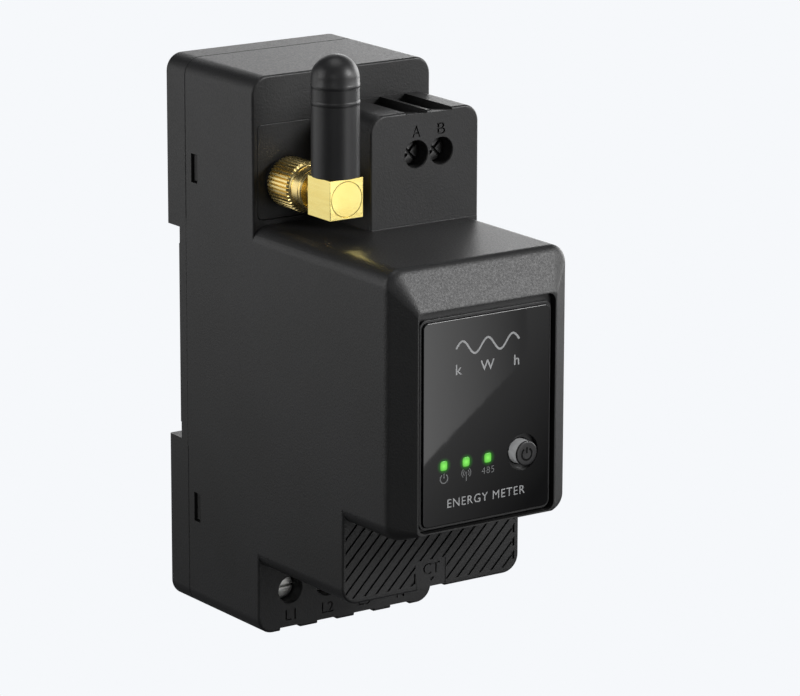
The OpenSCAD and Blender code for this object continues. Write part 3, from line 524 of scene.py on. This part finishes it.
def makeHousing(h):
    edge = h["softEdge"]
    case = slab("front_shell", caseX, (coverDepth, h["upperDepth"]), caseH, h["corner"], edge, h["seam"])
    root = coverDepth + 1  # every block starts inside the shell
    bead = h["bead"]
    blocks = [
        slab("lower", caseX, (root, h["lowerDepth"]), (0, h["lowerTop"]), h["corner"], edge),
        slab("ribbed", caseX, (root, h["ribbedDepth"]), (h["ribbedFoot"], h["ribbedTop"]), h["corner"], edge),
        noseShape(h),
        slab("bus", h["busX"], (root, h["busDepth"]), (h["busFoot"], h["busTop"]), h["busCorner"], edge),
        # a hair-thin bead where the bus block stands on the nose
        slab("bead", (h["busX"][0] + 0.1, h["busX"][1] - 0.3), (30, h["busDepth"] + bead),
             (70, h["noseHeights"][1] + bead), 0.1, 0.1),
    ]
    for block in blocks:
        combine(case, block, "UNION")
    # hollow the shell out, one step at a time
    t = h["wall"]
    inside = (caseX[0] + t, caseX[1] - t)
    hollows = [
        (inside, (coverDepth - 1, h["upperDepth"] - t), (t, caseH[1] - t)),
        (inside, (coverDepth - 1, h["lowerDepth"] - t), (t, h["lowerTop"])),
        (inside, (coverDepth, h["ribbedDepth"] - t), (h["ribbedFoot"] + t, 60)),
        (inside, (coverDepth, h["noseDepths"][0] - t), (h["noseHeights"][0] + t, h["noseHeights"][1] - t)),
        ((h["busX"][0] + t, inside[1]), (coverDepth, h["busDepth"] - t), (h["busFoot"], h["busTop"] - t)),
        (h["panelOpening"][0], (60, h["pocketDepth"] + 1), h["panelOpening"][1]),
    ]
    for x, depth, height in hollows:
        combine(case, slab("hollow", x, depth, height, h["hollowCorner"]))
    combine(case, slab("pocket", (-h["pocketX"], h["pocketX"]), (h["pocketDepth"], 70), h["pocketHeights"],
                       h["pocketCorner"]))
    for x in mainsX:
        combine(case, wellTool(x, mainsHeight, mainsWell, h["lowerDepth"], t + 1))
        way = (x - h["wireWay"], x + h["wireWay"])
        combine(case, slab("entry", way, (12.5, 17.2), (-1, t + 1)))
        combine(case, ramp("lead in", way, [(17.1, -1), (29, -1), (29, 0.57), (28, 0.57), (17.1, t)]))
    for x in busX:
        top = h["busTop"]
        combine(case, wellTool(x, busScrewHeight, busWell, h["busDepth"], t + 1))
        way = (x - h["busWay"], x + h["busWay"])
        combine(case, slab("entry", way, (h["upperDepth"] + 0.3, 31), (top - t - 1, top + 1)))
        combine(case, ramp("lead in", way, [(30.9, top + 1), (42, top + 1), (42, top - 0.45),
                                            (41.1, top - 0.45), (30.9, top - t)]))
    plateX, plateDepth, plateH = extent("antenna_plate")
    combine(case, slab("plate seat", (plateX[0] - 0.05, plateX[1] + 0.05), (plateDepth[0], 28),
                       (plateH[0] - 0.05, plateH[1] + 0.05), 1))
    jackHole = lathe("jack hole", [(0, -3), (h["jackHole"], -3), (h["jackHole"], 1), (0, 1)], 48)
    combine(case, aim(jackHole, connector["x"], h["upperDepth"], connector["height"]))
    foot = h["ribbedFoot"]
    combine(case, slab("socket mouth", h["socketX"], h["socketDepths"], (foot - 1, foot + t + 1)))
    combine(case, slab("finger notch", h["socketX"], h["notchDepths"], (foot - 1, foot + 0.4)))
    for low, high in h["windowHeights"]:
        for x in ((caseX[0] - 1, caseX[0] + t + 1), (caseX[1] - t - 1, caseX[1] + 1)):
            combine(case, slab("window", x, h["windowDepths"], (low, high)))
    for tool in grooveTools(h):
        combine(case, tool)
    fieldX, fieldTop = h["markField"]
    combine(case, slab("mark field", fieldX, (h["ribbedDepth"] - 0.1, 55), (foot - 1, fieldTop)))
    return case


def splitFaces(piece):
    # triangles before engraving, so that no face has to carry many holes
    bm = bmesh.new()
    bm.from_mesh(piece.data)
    bmesh.ops.triangulate(bm, faces=bm.faces)
    bm.to_mesh(piece.data)
    bm.free()


def engrave(case, h):
    # terminal marks: (words, x, foot, width, height, face)
    deep = 0.4
    splitFaces(case)
    marks = [("CT", 0.02, 14.43, 3.38, 1.98, h["ribbedDepth"])]
    marks += [(name, x, 1.65, wide, 1.9, h["lowerDepth"])
              for name, x, wide in zip(("L1", "L2", "L3", "N"), mainsX, (2.1, 2.4, 2.4, 1.6))]
    marks += [(name, x, 86.1, 1.6, 1.95, h["busDepth"]) for name, x in zip(("A", "B"), busX)]
    for words, x, height, wide, tall, face in marks:
        combine(case, lettering("mark", words, x, height, wide, tall, face + 0.1, deep + 0.1))
    arrow = [[spot(x, d, up) for x, up in ((-0.7, 13.85), (0.7, 13.85), (0, 13.2))]
             for d in (h["ribbedDepth"] - deep, h["ribbedDepth"] + 0.2)]
    combine(case, skin("arrow", arrow))
    return case


frontShell = engrave(makeHousing(housing), housing)
complete(frontShell, "meter", caseGrained, "front_housing")
print("front housing:", len(frontShell.data.polygons), "faces")

rear = {
    "wall": 1.8,
    "recess": (29.5, 66.9),
    "seatDepth": 3.8,
    "seatHeights": (32.4, 64),
    "relief": 0.2,
    "channelX": 9.15,
    "flangeX": 10.15,
    "flangeDepth": 1.55,
    "channelDepth": 3.6,
    "hookX": 14,
    "armX": (14.95, 16.15),
    "armHeights": ((75.7, 80.1), (15.85, 20.4)),
    "barbDepths": (8.1, 9.6),
    "lowerFloor": 5.1,
    "padX": (11.6, 15.6),
    "padHeights": ((4, 13), (16, 25), (76, 91)),
    "padDeep": 0.25,
}


def makeCover(r):
    low, high = r["recess"]
    cover = slab("rear_shell", caseX, (0, coverDepth), caseH, housing["corner"], 0.2, 0.5)
    recess = slab("recess", (-20, 20), (-1, r["seatDepth"] + r["relief"]), r["recess"])
    combine(recess, slab("seat", (-21, 21), (r["seatDepth"], 6), r["seatHeights"]))
    combine(cover, recess)
    inner = caseX[1] - r["wall"]
    corner = housing["hollowCorner"]
    combine(cover, slab("upper hollow", (-inner, inner), (r["wall"], 8),
                        (high + r["wall"], caseH[1] - r["wall"]), corner))
    combine(cover, slab("lower hollow", (-inner, inner), (r["lowerFloor"], 8), (r["wall"], low - r["wall"]),
                        corner))
    combine(cover, slab("channel", (-r["channelX"], r["channelX"]), (-1, r["channelDepth"]), (-1, low + 1)))
    combine(cover, slab("flange", (-r["flangeX"], r["flangeX"]), (r["flangeDepth"], r["channelDepth"]),
                        (-1, low + 1)))
    hook = ((-r["hookX"], r["hookX"]), (0.4, 2.6), (64.3, high + 0.5))
    combine(cover, slab("hook", *hook, 0.2, 0.15, 0.25), "UNION")
    combine(cover, slab("hook root", hook[0], (2.5, 4.5), (65.8, high + 0.5)), "UNION")
    combine(cover, slab("stop", (-2.2, 2.2), (0.6, 4.1), (7.3, 9.3), 0.2, 0, 0.15), "UNION")
    for side in (-1, 1):
        x = sorted((side * r["armX"][0], side * r["armX"][1]))
        for height in r["armHeights"]:
            combine(cover, slab("arm", x, (1, 10.4), height, 0.2, 0.3), "UNION")
            wedge = [(side * 16, r["barbDepths"][0]), (side * 17.5, r["barbDepths"][0]),
                     (side * 17.5, r["barbDepths"][0] + 0.8), (side * 16, r["barbDepths"][1])]
            barb = skin("barb", [[spot(bx, bd, up) for bx, bd in wedge] for up in height])
            combine(cover, barb, "UNION")
        # shallow sink pads that the mould leaves beside the channel and above the recess
        padX = sorted((side * r["padX"][0], side * r["padX"][1]))
        for height in r["padHeights"]:
            pad = slab("pad", padX, (-1, r["padDeep"]), height, 0.8)
            combine(cover, pad)
    return cover


rearShell = complete(makeCover(rear), "meter", caseGrained, "rear_cover")
print("rear cover:", len(rearShell.data.polygons), "faces")

# the plate that the aerial's connector goes through
plateX, plateDepth, plateH = extent("antenna_plate")
jackHoleRadius = 3.25
plate = slab("aerial_plate", plateX, plateDepth, plateH, 0.95, 0.14)
combine(plate, aim(lathe("hole", [(0, -2), (jackHoleRadius, -2), (jackHoleRadius, 1), (0, 1)], 48),
                   connector["x"], plateDepth[1], connector["height"]))
complete(plate, "meter", caseGrained, "antenna_plate")

panel = {
    "x": extent("front_panel")[0],
    "heights": extent("front_panel")[2],
    "depths": extent("front_panel")[1],
    "corner": 1,
    "edge": 0.16,
    "lip": 0.5,
    "lipProud": 0.6,
    "dish": 3.1,
    "carrierHole": 2.3,
}
button = {
    "x": 7.3,
    "height": 38,
    "radius": 2.1,
    "front": extent("button_cap")[1][1],
    "stem": 0.9,
    "flange": 2.8,
    "flangeDepths": (65.4, 66.3),
    "coreInset": 0.2,
    "ringInset": 0.03,
    "ringTop": 0.26,
    # the sleeve's pale tone is a painted highlight
    "highlightPart": 0.62,  # share of the button's wall that the pale sleeve covers
    "faceThick": 0.5,
    "softRim": 0.25,
    "signRadius": 1.0,
    "signDrop": 0.1,
}
lights = {
    "power_light": extent("power_light"),
    "radio_light": extent("radio_light"),
    "bus_light": extent("bus_light"),
}


def lightHole(box, grow=0.0):
    x, _, h = box
    return slab("light hole", (x[0] - grow, x[1] + grow), (60, 72), (h[0] - grow, h[1] + grow), 0.45 + grow)


def roundHole(radius):
    tool = lathe("round hole", [(0, -8), (radius, -8), (radius, 8), (0, 8)], 48)
    return aim(tool, button["x"], panel["depths"][0], button["height"])


def makeCarrier(p):
    x, depth, h = extent("panel_carrier")
    face = p["depths"][0]
    carrier = slab("panel_frame", x, (depth[0], face), h, 1.3, 0.1)
    gap = 0.05
    out = p["lip"]
    lip = slab("lip", (p["x"][0] - out, p["x"][1] + out), (face - 0.1, face + p["lipProud"]),
               (p["heights"][0] - out, p["heights"][1] + out), 1.4, 0.12)
    combine(lip, slab("lip inside", (p["x"][0] - gap, p["x"][1] + gap), (face - 1, face + 2),
                      (p["heights"][0] - gap, p["heights"][1] + gap), 1.05))
    combine(carrier, lip, "UNION")
    combine(carrier, roundHole(p["carrierHole"]))
    for box in lights.values():
        combine(carrier, lightHole(box))
    return carrier


def makePanel(p):
    glass = slab("gloss_panel", p["x"], p["depths"], p["heights"], p["corner"], p["edge"])
    combine(glass, roundHole(p["dish"]))
    for box in lights.values():
        combine(glass, lightHole(box))
    return glass


lightCentres = [spot(sum(x) / 2, panel["depths"][1], sum(h) / 2) for x, _, h in lights.values()]
complete(makeCarrier(panel), "meter", frameSatin, "panel_carrier")
complete(makePanel(panel), "meter", panelGloss(lightCentres), "front_panel")
for (node, (x, depth, h)), centre in zip(lights.items(), lightCentres):
    gap = 0.03
    lens = slab(node.replace("light", "lens"), (x[0] + gap, x[1] - gap), depth, (h[0] + gap, h[1] - gap),
                0.42, 0.12)
    finish = litLens("PMMA green, lit from behind, " + node.replace("_", " "), centre)
    complete(lens, "meter", finish, node)
print("panel and lights ready")


def powerSign(cx, ch, radius, width, depth, thick):
    ring = stroke("ring", arc(cx, ch, radius, 122, 418, 28), width, depth, thick)
    bar = stroke("bar", [(cx, ch + radius * 0.1), (cx, ch + radius * 1.15)], width, depth, thick)
    return [ring, bar]


def mastSign(cx, ch, depth, thick):
    parts = [stroke("mast", [(cx, ch - 1.05), (cx, ch + 0.2)], 0.16, depth, thick)]
    parts.append(stroke("tip", arc(cx, ch + 0.3, 0.14, 0, 350, 12), 0.12, depth, thick))
    for radius in (0.55, 0.9):
        parts.append(stroke("wave", arc(cx, ch + 0.3, radius, -48, 48, 10), 0.14, depth, thick))
        parts.append(stroke("wave", arc(cx, ch + 0.3, radius, 132, 228, 10), 0.14, depth, thick))
    return parts


def makePrints(p):
    thick = 0.03
    face = p["depths"][1] + 0.015
    # a generic mains wave, and the unit below it
    wave = [(-6.2 + 12.6 * k / 72, 57.3 + 1.15 * math.sin(2 * math.pi * 2.5 * k / 72)) for k in range(73)]
    bold = [stroke("wave", wave, 0.34, face, thick)]
    bold.append(lettering("unit", "kWh", 0.1, 52.95, 12.7, 1.75, face, thick, 3.9, 0.02))
    bold.append(lettering("words", "ENERGY METER", 0, 30.9, 15.6, 1.45, face, thick, 1.15, 0.0))
    fine = powerSign(-8.5, 35.95, 0.75, 0.19, face, thick)
    fine += mastSign(-4.05, 35.95, face, thick)
    fine.append(lettering("number", "485", 0.3, 35.5, 2.5, 1.15, face, thick, 1.15, -0.012))
    complete(together("panel_print", bold), "meter", screenInk)
    complete(together("icon_print", fine), "meter", thinInk)


makePrints(panel)


def makeButton(b):
    # a black body with its flange, its foot painted near-black as shade, a sleeve round it painted pale as a
    # highlight, and a grey face, which move as one
    _, depth, _ = extent("button_cap")
    cap = b["radius"]
    core = cap - b["coreInset"]
    ring = cap - b["ringInset"]
    rim = b["softRim"]
    flange, step = [along - depth[0] for along in b["flangeDepths"]]
    front = b["front"] - depth[0]
    foot = front - b["highlightPart"] * (front - step)
    back = front - b["faceThick"]
    top = front - b["ringTop"]
    body = lathe("button_body", [(0, 0), (b["stem"], 0), (b["stem"], flange), (b["flange"], flange),
                                 (b["flange"], step - 0.1), (b["flange"] - 0.1, step), (ring, step),
                                 (ring, foot), (core, foot), (core, back), (0, back)], 64)
    complete(aim(body, b["x"], depth[0], b["height"]), "button", paintedShadeBlack, "button_cap")
    sleeve = lathe("button_sleeve_painted_highlight", [(core, foot), (ring, foot), (ring, top), (core, top)], 64)
    complete(aim(sleeve, b["x"], depth[0], b["height"]), "button", paintedHighlightSatin)
    profile = [(0, back), (core, back), (core, top), (cap, top)]
    for a in (0, 22.5, 45, 67.5, 90):
        turn = math.radians(a)
        profile.append((cap - rim + rim * math.cos(turn), front - rim + rim * math.sin(turn)))
    profile += [(1.3, front - 0.004), (0, front - 0.03)]
    face = aim(lathe("button_face", profile, 64), b["x"], depth[0], b["height"])
    centre = b["height"] - b["signDrop"]
    for tool in powerSign(b["x"], centre, b["signRadius"], 0.36, b["front"] + 0.2, 0.36):
        combine(face, tool)
    complete(face, "button", buttonSatin)
    ink = powerSign(b["x"], centre, b["signRadius"], 0.35, b["front"] - 0.04, 0.05)
    complete(together("button_mark", ink), "button", markInk)
    return sleeve


highlightSleeve = makeButton(button)
print("button ready")


def screwProfile(head, shank, length, headLong):
    rim = 0.22
    return [(0, 0), (shank - 0.25, 0), (shank, 0.25), (shank, length - headLong), (head, length - headLong),
            (head, length - rim), (head - 0.06, length - rim * 0.4), (head - rim, length), (0, length)]


def makeScrew(node, x, height, spec, material):
    box = extent(node)
    length = box[1][1] - box[1][0]
    screw = lathe(node.replace("screw", "terminal_screw"),
                  screwProfile(spec["head"], spec["shank"], length, spec["headLong"]), 48)
    aim(screw, x, box[1][0], height)
    front = box[1][1]
    for turn in spec["turns"]:
        wide = spec["slot"] / 2
        tool = slab("slot", (-spec["head"] - 1, spec["head"] + 1), (0, 2), (-wide, wide))
        tool.data.transform(Matrix.Translation(-spot(0, 0, 0)))
        tool.matrix_world = (Matrix.Translation(spot(x, front - spec["slotDeep"], height))
                             @ Matrix.Rotation(math.radians(turn), 4, "Y"))
        combine(screw, tool)
    return complete(screw, node, material, node)


mainsScrew = {"head": 2.15, "shank": 1.5, "headLong": 1.6, "slot": 0.5, "slotDeep": 0.8, "turns": (0,)}
busScrew = {"head": 2.1, "shank": 1.25, "headLong": 1.4, "slot": 0.55, "slotDeep": 0.8, "turns": (45, -45)}
for node, x in zip(("screw_l1", "screw_l2", "screw_l3", "screw_n"), mainsX):
    makeScrew(node, x, mainsHeight, mainsScrew, nickelTurned)
for node, x in zip(("screw_a", "screw_b"), busX):
    makeScrew(node, x, busScrewHeight, busScrew, blackTurned)
print("screws ready")

aerial = {
    "x": connector["x"],
    "height": connector["height"],
    "nut": 4.3,
    "shoulder": 3.7,
    "neck": 2.5,
    "teeth": 40,
    "dent": 0.28,
    "whipAxis": 42.1,
    "whip": 4.03,
    "rings": (93.9, 96.7),
    "nutBore": 3.2,
    "gripEnd": 34.3,
    "chamfer": 0.45,
    "lipBore": 2.55,
    "lipLong": 1.8,
    "barrel": 3.15,
    "plugBore": 2,
    "groove": (34.1, 34.6),
    "grooveRadius": 2.8,
    "barrelEnd": 35.3,
    "collar": (37.5, 37.7, 38, 38.2),
    "collarProud": 0.25,
    "elbowBore": 1.5,
    "elbowEdge": 0.12,
    "capSeat": 3.03,
    "cap": 2.97,
    "whipBore": 2.7,
    "whipBoreTop": 97,
}


def makeNut(a):
    _, depth, _ = extent("coupling_nut")
    long = depth[1] - depth[0]
    grip = a["gripEnd"] - depth[0]
    r = a["nut"]
    s = a["shoulder"]
    bore = a["nutBore"]
    chamfer = a["chamfer"]
    lip = long - a["lipLong"]
    profile = [(bore, 0), (r - chamfer, 0), (r, 0.4, 1), (r, grip - chamfer, 1), (r - 0.3, grip - 0.1),
               (s + 0.22, grip), (s, grip + 0.12), (s, long - 0.9), (s - 0.12, long - 0.8),
               (s - 0.12, long - 0.55), (s, long - 0.45), (s, long - 0.2), (s - 0.2, long),
               (a["lipBore"], long), (a["lipBore"], lip), (bore, lip)]
    nut = lathe("knurled_nut", profile, a["teeth"] * 4, a["teeth"], a["dent"])
    aim(nut, a["x"], depth[0], a["height"])
    return complete(nut, "coupling_nut", goldKnurled, "coupling_nut", crease=25)


def makePlug(a):
    _, depth, _ = extent("plug_body")
    start = depth[0]
    near, far = [along - start for along in a["groove"]]
    end = depth[1] - start
    bore = a["plugBore"]
    barrel = a["barrel"]
    barrelEnd = a["barrelEnd"] - start
    neck = a["neck"]
    proud = neck + a["collarProud"]
    collar = [along - start for along in a["collar"]]
    profile = [(bore, 0), (barrel - 0.05, 0), (barrel, 0.05), (barrel, near), (a["grooveRadius"], near),
               (a["grooveRadius"], far), (barrel, far), (barrel, barrelEnd), (neck, barrelEnd),
               (neck, collar[0]), (proud, collar[1]), (proud, collar[2]), (neck, collar[3]), (neck, end),
               (bore, end)]
    plug = lathe("aerial_neck", profile, 64)
    return complete(aim(plug, a["x"], start, a["height"]), "antenna", goldKnurled, "plug_body")


def makeElbow(a):
    x, depth, h = extent("elbow_block")
    block = slab("elbow", x, depth, h)
    soften = block.modifiers.new("soften", "BEVEL")
    soften.width = a["elbowEdge"] * mm
    soften.segments = 3
    wide = a["capSeat"]
    seat = lathe("seat", [(0, -0.8), (wide, -0.8), (wide, -0.03), (wide + 0.03, 0.01), (wide + 0.03, 1),
                          (0, 1)], 64)
    combine(block, aim(seat, a["x"], depth[1], a["height"]))
    bore = a["elbowBore"]
    inward = lathe("bore", [(0, -1), (bore, -1), (bore, 6.8), (0, 6.8)], 32)
    combine(block, aim(inward, a["x"], depth[0], a["height"]))
    upward = lathe("bore", [(0, 0), (bore, 0), (bore, 9), (0, 9)], 32)
    combine(block, aim(upward, a["x"], a["whipAxis"], a["height"], True))
    complete(block, "antenna", goldMilled, "elbow_block", crease=20)
    _, capDepth, _ = extent("elbow_cap")
    thick = capDepth[1] - capDepth[0]
    disc = a["cap"]
    cap = lathe("elbow_disc", [(0, 0), (disc, 0), (disc, thick - 0.07), (disc - 0.02, thick - 0.03),
                               (disc - 0.06, thick), (0, thick)], 64)
    complete(aim(cap, a["x"], capDepth[0], a["height"]), "antenna", goldMilled, "elbow_cap", crease=20)


def makeWhip(a):
    # one closed profile: up the outside, over the dome, and back down the bore
    _, _, h = extent("whip_sleeve")
    r = a["whip"]
    top = h[1] - h[0]
    bore = a["whipBore"]
    boreTop = a["whipBoreTop"] - h[0]
    profile = [(bore, 0), (r - 0.2, 0), (r - 0.06, 0.06), (r, 0.2)]
    for ring in a["rings"]:
        low = ring - h[0]
        profile += [(r, low - 0.12), (r - 0.1, low - 0.1), (r - 0.1, low), (r + 0.03, low + 0.02),
                    (r + 0.07, low + 0.1), (r + 0.07, low + 0.5), (r + 0.03, low + 0.62), (r, low + 0.7)]
    for turn in range(6, 90, 6):
        angle = math.radians(turn)
        profile.append((r * math.cos(angle), top - r + r * math.sin(angle)))
    profile += [(0, top), (0, boreTop), (bore, boreTop)]
    whip = aim(lathe("whip_rubber", profile, 72), a["x"], a["whipAxis"], h[0], True)
    return complete(whip, "antenna", whipRubber, "whip_sleeve", crease=40)


makeNut(aerial)
makePlug(aerial)
makeElbow(aerial)
makeWhip(aerial)
print("aerial ready")

# finishes of the CAD pieces that stay as they are
finishes = {
    "led_chips": ledBody,
    "switch_plunger": latchSatin,
    "tact_switch": stampedSteel,
    "display_board": boardMask,
    "riser_board": boardMask,
    "power_board": boardMask,
    "comms_board": boardMask,
    "transformer_core": coreSteel,
    "transformer_winding": windingTape,
    "bulk_capacitors": sleeveBlue,
    "mains_varistor": varistorBlue,
    "metering_chip": chipEpoxy,
    "processor_chip": chipEpoxy,
    "radio_module": moduleMask,
    "radio_shield": tinPlate,
    "din_latch": latchSatin,
    "latch_spring": springWire,
    "mains_terminal_block": terminalMatte,
    "mains_contacts": tinnedBrass,
    "bus_terminal_block": terminalMatte,
    "bus_contacts": tinnedBrass,
    "ct_socket": socketIvory,
    "ct_pins": tinnedBrass,
    "sma_jack": goldKnurled,
    "jack_washer": washerRubber,
    "jack_insulator": ptfeTurned,
    "jack_contact": goldKnurled,
    "retaining_ring": springWire,
    "plug_insulator": ptfeTurned,
    "plug_contact": goldKnurled,
    "radiator_coil": enamelCopper,
}
for clamp in ("clamp_l1", "clamp_l2", "clamp_l3", "clamp_n", "clamp_a", "clamp_b"):
    finishes[clamp] = zincPlate
for node, material in finishes.items():
    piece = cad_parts[node]
    piece.data.materials.clear()
    piece.data.materials.append(material)
print("finishes set on", len(finishes), "CAD pieces")

scene = bpy.context.scene
scene.view_settings.view_transform = "Standard"


def sheetOf(name, corners, material):
    def build(bm):
        bm.faces.new([bm.verts.new(corner) for corner in corners])
    piece = meshFrom(name, build)
    piece.data.materials.append(material)
    return piece


def glowing(name, code, strength):
    material = bpy.data.materials.new(name)
    material.use_nodes = True
    shader = material.node_tree.nodes["Principled BSDF"]
    shader.inputs["Base Color"].default_value = (0, 0, 0, 1)
    shader.inputs["Specular IOR Level"].default_value = 0
    shader.inputs["Emission Color"].default_value = linear(code)
    shader.inputs["Emission Strength"].default_value = strength
    return material


studio = {
    "pale": "#f6f8fb",
    "worldLight": 0.09,
}

world = bpy.data.worlds.new("studio air")
world.use_nodes = True
scene.world = world
tree = world.node_tree
shown = addNode(tree, "Background", {"Color": linear(studio["pale"]), "Strength": 1})
lit = addNode(tree, "Background", {"Color": linear("#eef1f5"), "Strength": studio["worldLight"]})
ray = addNode(tree, "LightPath")
pick = addNode(tree, "MixShader", links={0: ray.outputs["Is Camera Ray"], 1: lit.outputs[0],
                                         2: shown.outputs[0]})
tree.links.new(pick.outputs[0], tree.nodes["World Output"].inputs["Surface"])

floorReach = 6  # metres each way
floorCorners = [Vector((x * floorReach, y * floorReach, baseZ))
                for x, y in ((-1, -1), (1, -1), (1, 1), (-1, 1))]
floor = sheetOf("floor", floorCorners, glowing("paper floor, pale", studio["pale"], 1))
floor.visible_glossy = False
floor.visible_diffuse = False

lamps = {  # direction from the meter, size in metres and watts, all a metre away
    "left, behind": ((-0.9, 0.35, 0.25), 0.6, 3.5),
    "right, behind": ((0.75, 0.65, 0.25), 0.5, 1.7),
    "far right, behind": ((0.45, 0.85, 0.28), 0.5, 1.2),
    "above": ((0, 0, 1), 0.6, 2.1),
    "right": ((0.98, 0.2, 0.12), 0.5, 5.0),
    "key": ((0.554, -0.713, 0.429), 0.25, 6.2),
    "right, in front": ((0.85, -0.5, 0.15), 0.4, 2.0),
    "left, in front": ((-0.6, -0.75, 0.25), 0.5, 0.8),
}


def softbox(name, towards, size, power):
    lamp = bpy.data.lights.new(name, "AREA")
    lamp.size = size
    lamp.energy = power
    holder = newObject(name, lamp)
    holder.visible_camera = False
    centre = spot(0, 34, 48)
    holder.location = centre + Vector(towards).normalized()
    holder.rotation_euler = (centre - holder.location).to_track_quat("-Z", "Y").to_euler()
    return holder


for name, (towards, size, power) in lamps.items():
    softbox(name, towards, size, power)
# a small light for the button's ring only
ringLight = softbox("ring light", (-0.62, -0.78, 0.15), 0.15, 5)
ringLight.light_linking.receiver_collection = bpy.data.collections.new("lit by the ring light")
ringLight.light_linking.receiver_collection.objects.link(highlightSleeve)

view = {
    "azimuth": -34.9,
    "elevation": 14.39,
    "roll": 0.13,
    "distance": 0.7534,
    "lens": 198.6,
    "target": (0.00983, -0.0262, -0.00122),
}
azimuth = math.radians(view["azimuth"])
elevation = math.radians(view["elevation"])
back = Vector((math.sin(azimuth) * math.cos(elevation), -math.cos(azimuth) * math.cos(elevation),
               math.sin(elevation)))
camera = bpy.data.objects.new("camera", bpy.data.cameras.new("camera"))
camera.data.lens = view["lens"]
camera.data.sensor_width = 36
camera.location = Vector(view["target"]) + back * view["distance"]
turn = (-back).to_track_quat("-Z", "Y").to_matrix() @ Matrix.Rotation(math.radians(view["roll"]), 3, "Z")
camera.rotation_euler = turn.to_euler()
scene.collection.objects.link(camera)
scene.camera = camera


def inMirror(point, axis, reach):
    # what the camera sees mirrored at a point stands here, this many metres out from a face along the axis
    ray = (point - camera.location).normalized()
    ray[axis] = -ray[axis]
    return point + ray * reach


def reflectedCard(name, points, axis, reach, along, start, end):
    # a lit card that only reflections see; it fades from start to end, each a point and a strength
    material = glowing(name, "#ffffff", 1)
    tree = material.node_tree
    place = addNode(tree, "TexCoord").outputs["Object"]
    share = addNode(tree, "VectorMath", links={0: place}, operation="DOT_PRODUCT")
    share.inputs[1].default_value = along
    ends = [Vector(along).dot(inMirror(point, axis, reach)) for point, _ in (start, end)]
    limits = {"From Min": ends[0], "From Max": ends[1], "To Min": start[1], "To Max": end[1]}
    fade = addNode(tree, "MapRange", limits, {"Value": share.outputs["Value"]})
    tree.links.new(fade.outputs["Result"], tree.nodes["Principled BSDF"].inputs["Emission Strength"])
    card = sheetOf(name, [inMirror(point, axis, reach) for point in points], material)
    card.visible_camera = False
    card.visible_diffuse = False
    card.visible_shadow = False
    return card


def onPanel(x, height):
    return spot(x, panel["depths"][1], height)


def onSide(depth, height):
    return spot(caseX[0], depth, height)


# the panel's slanting sheen: a bright card with a sloping foot, and a dim one behind it
slope = 0.716
edgeFoot = 42.14 + slope * 8.3
nearReach = 0.2  # metres from the face
farReach = 0.24
bright = [onPanel(x, height) for x, height in ((-70, edgeFoot - 70 * slope), (8, edgeFoot + 8 * slope),
                                               (8, 140), (-70, 140))]
reflectedCard("bright card", bright, 1, nearReach, (1, 0, 0), (onPanel(-12, 50), 2.0), (onPanel(7, 50), 0.5))
dim = [onPanel(x, height) for x, height in ((-70, 0), (30, 0), (30, 140), (-70, 140))]
reflectedCard("dim card", dim, 1, farReach, (-0.77, 0, 0.64), (onPanel(10, 31), 0.07),
              (onPanel(-12, 62), 1.0))
# the left side's fade from top to foot, and the pale flank of the elbow
tall = [onSide(depth, height) for depth, height in ((-60, 10), (130, 10), (130, 170), (-60, 170))]
reflectedCard("side card", tall, 0, nearReach, (0, 0, 1), (onSide(30, 10), 0.0), (onSide(30, 95), 1.1))
print("stage ready")
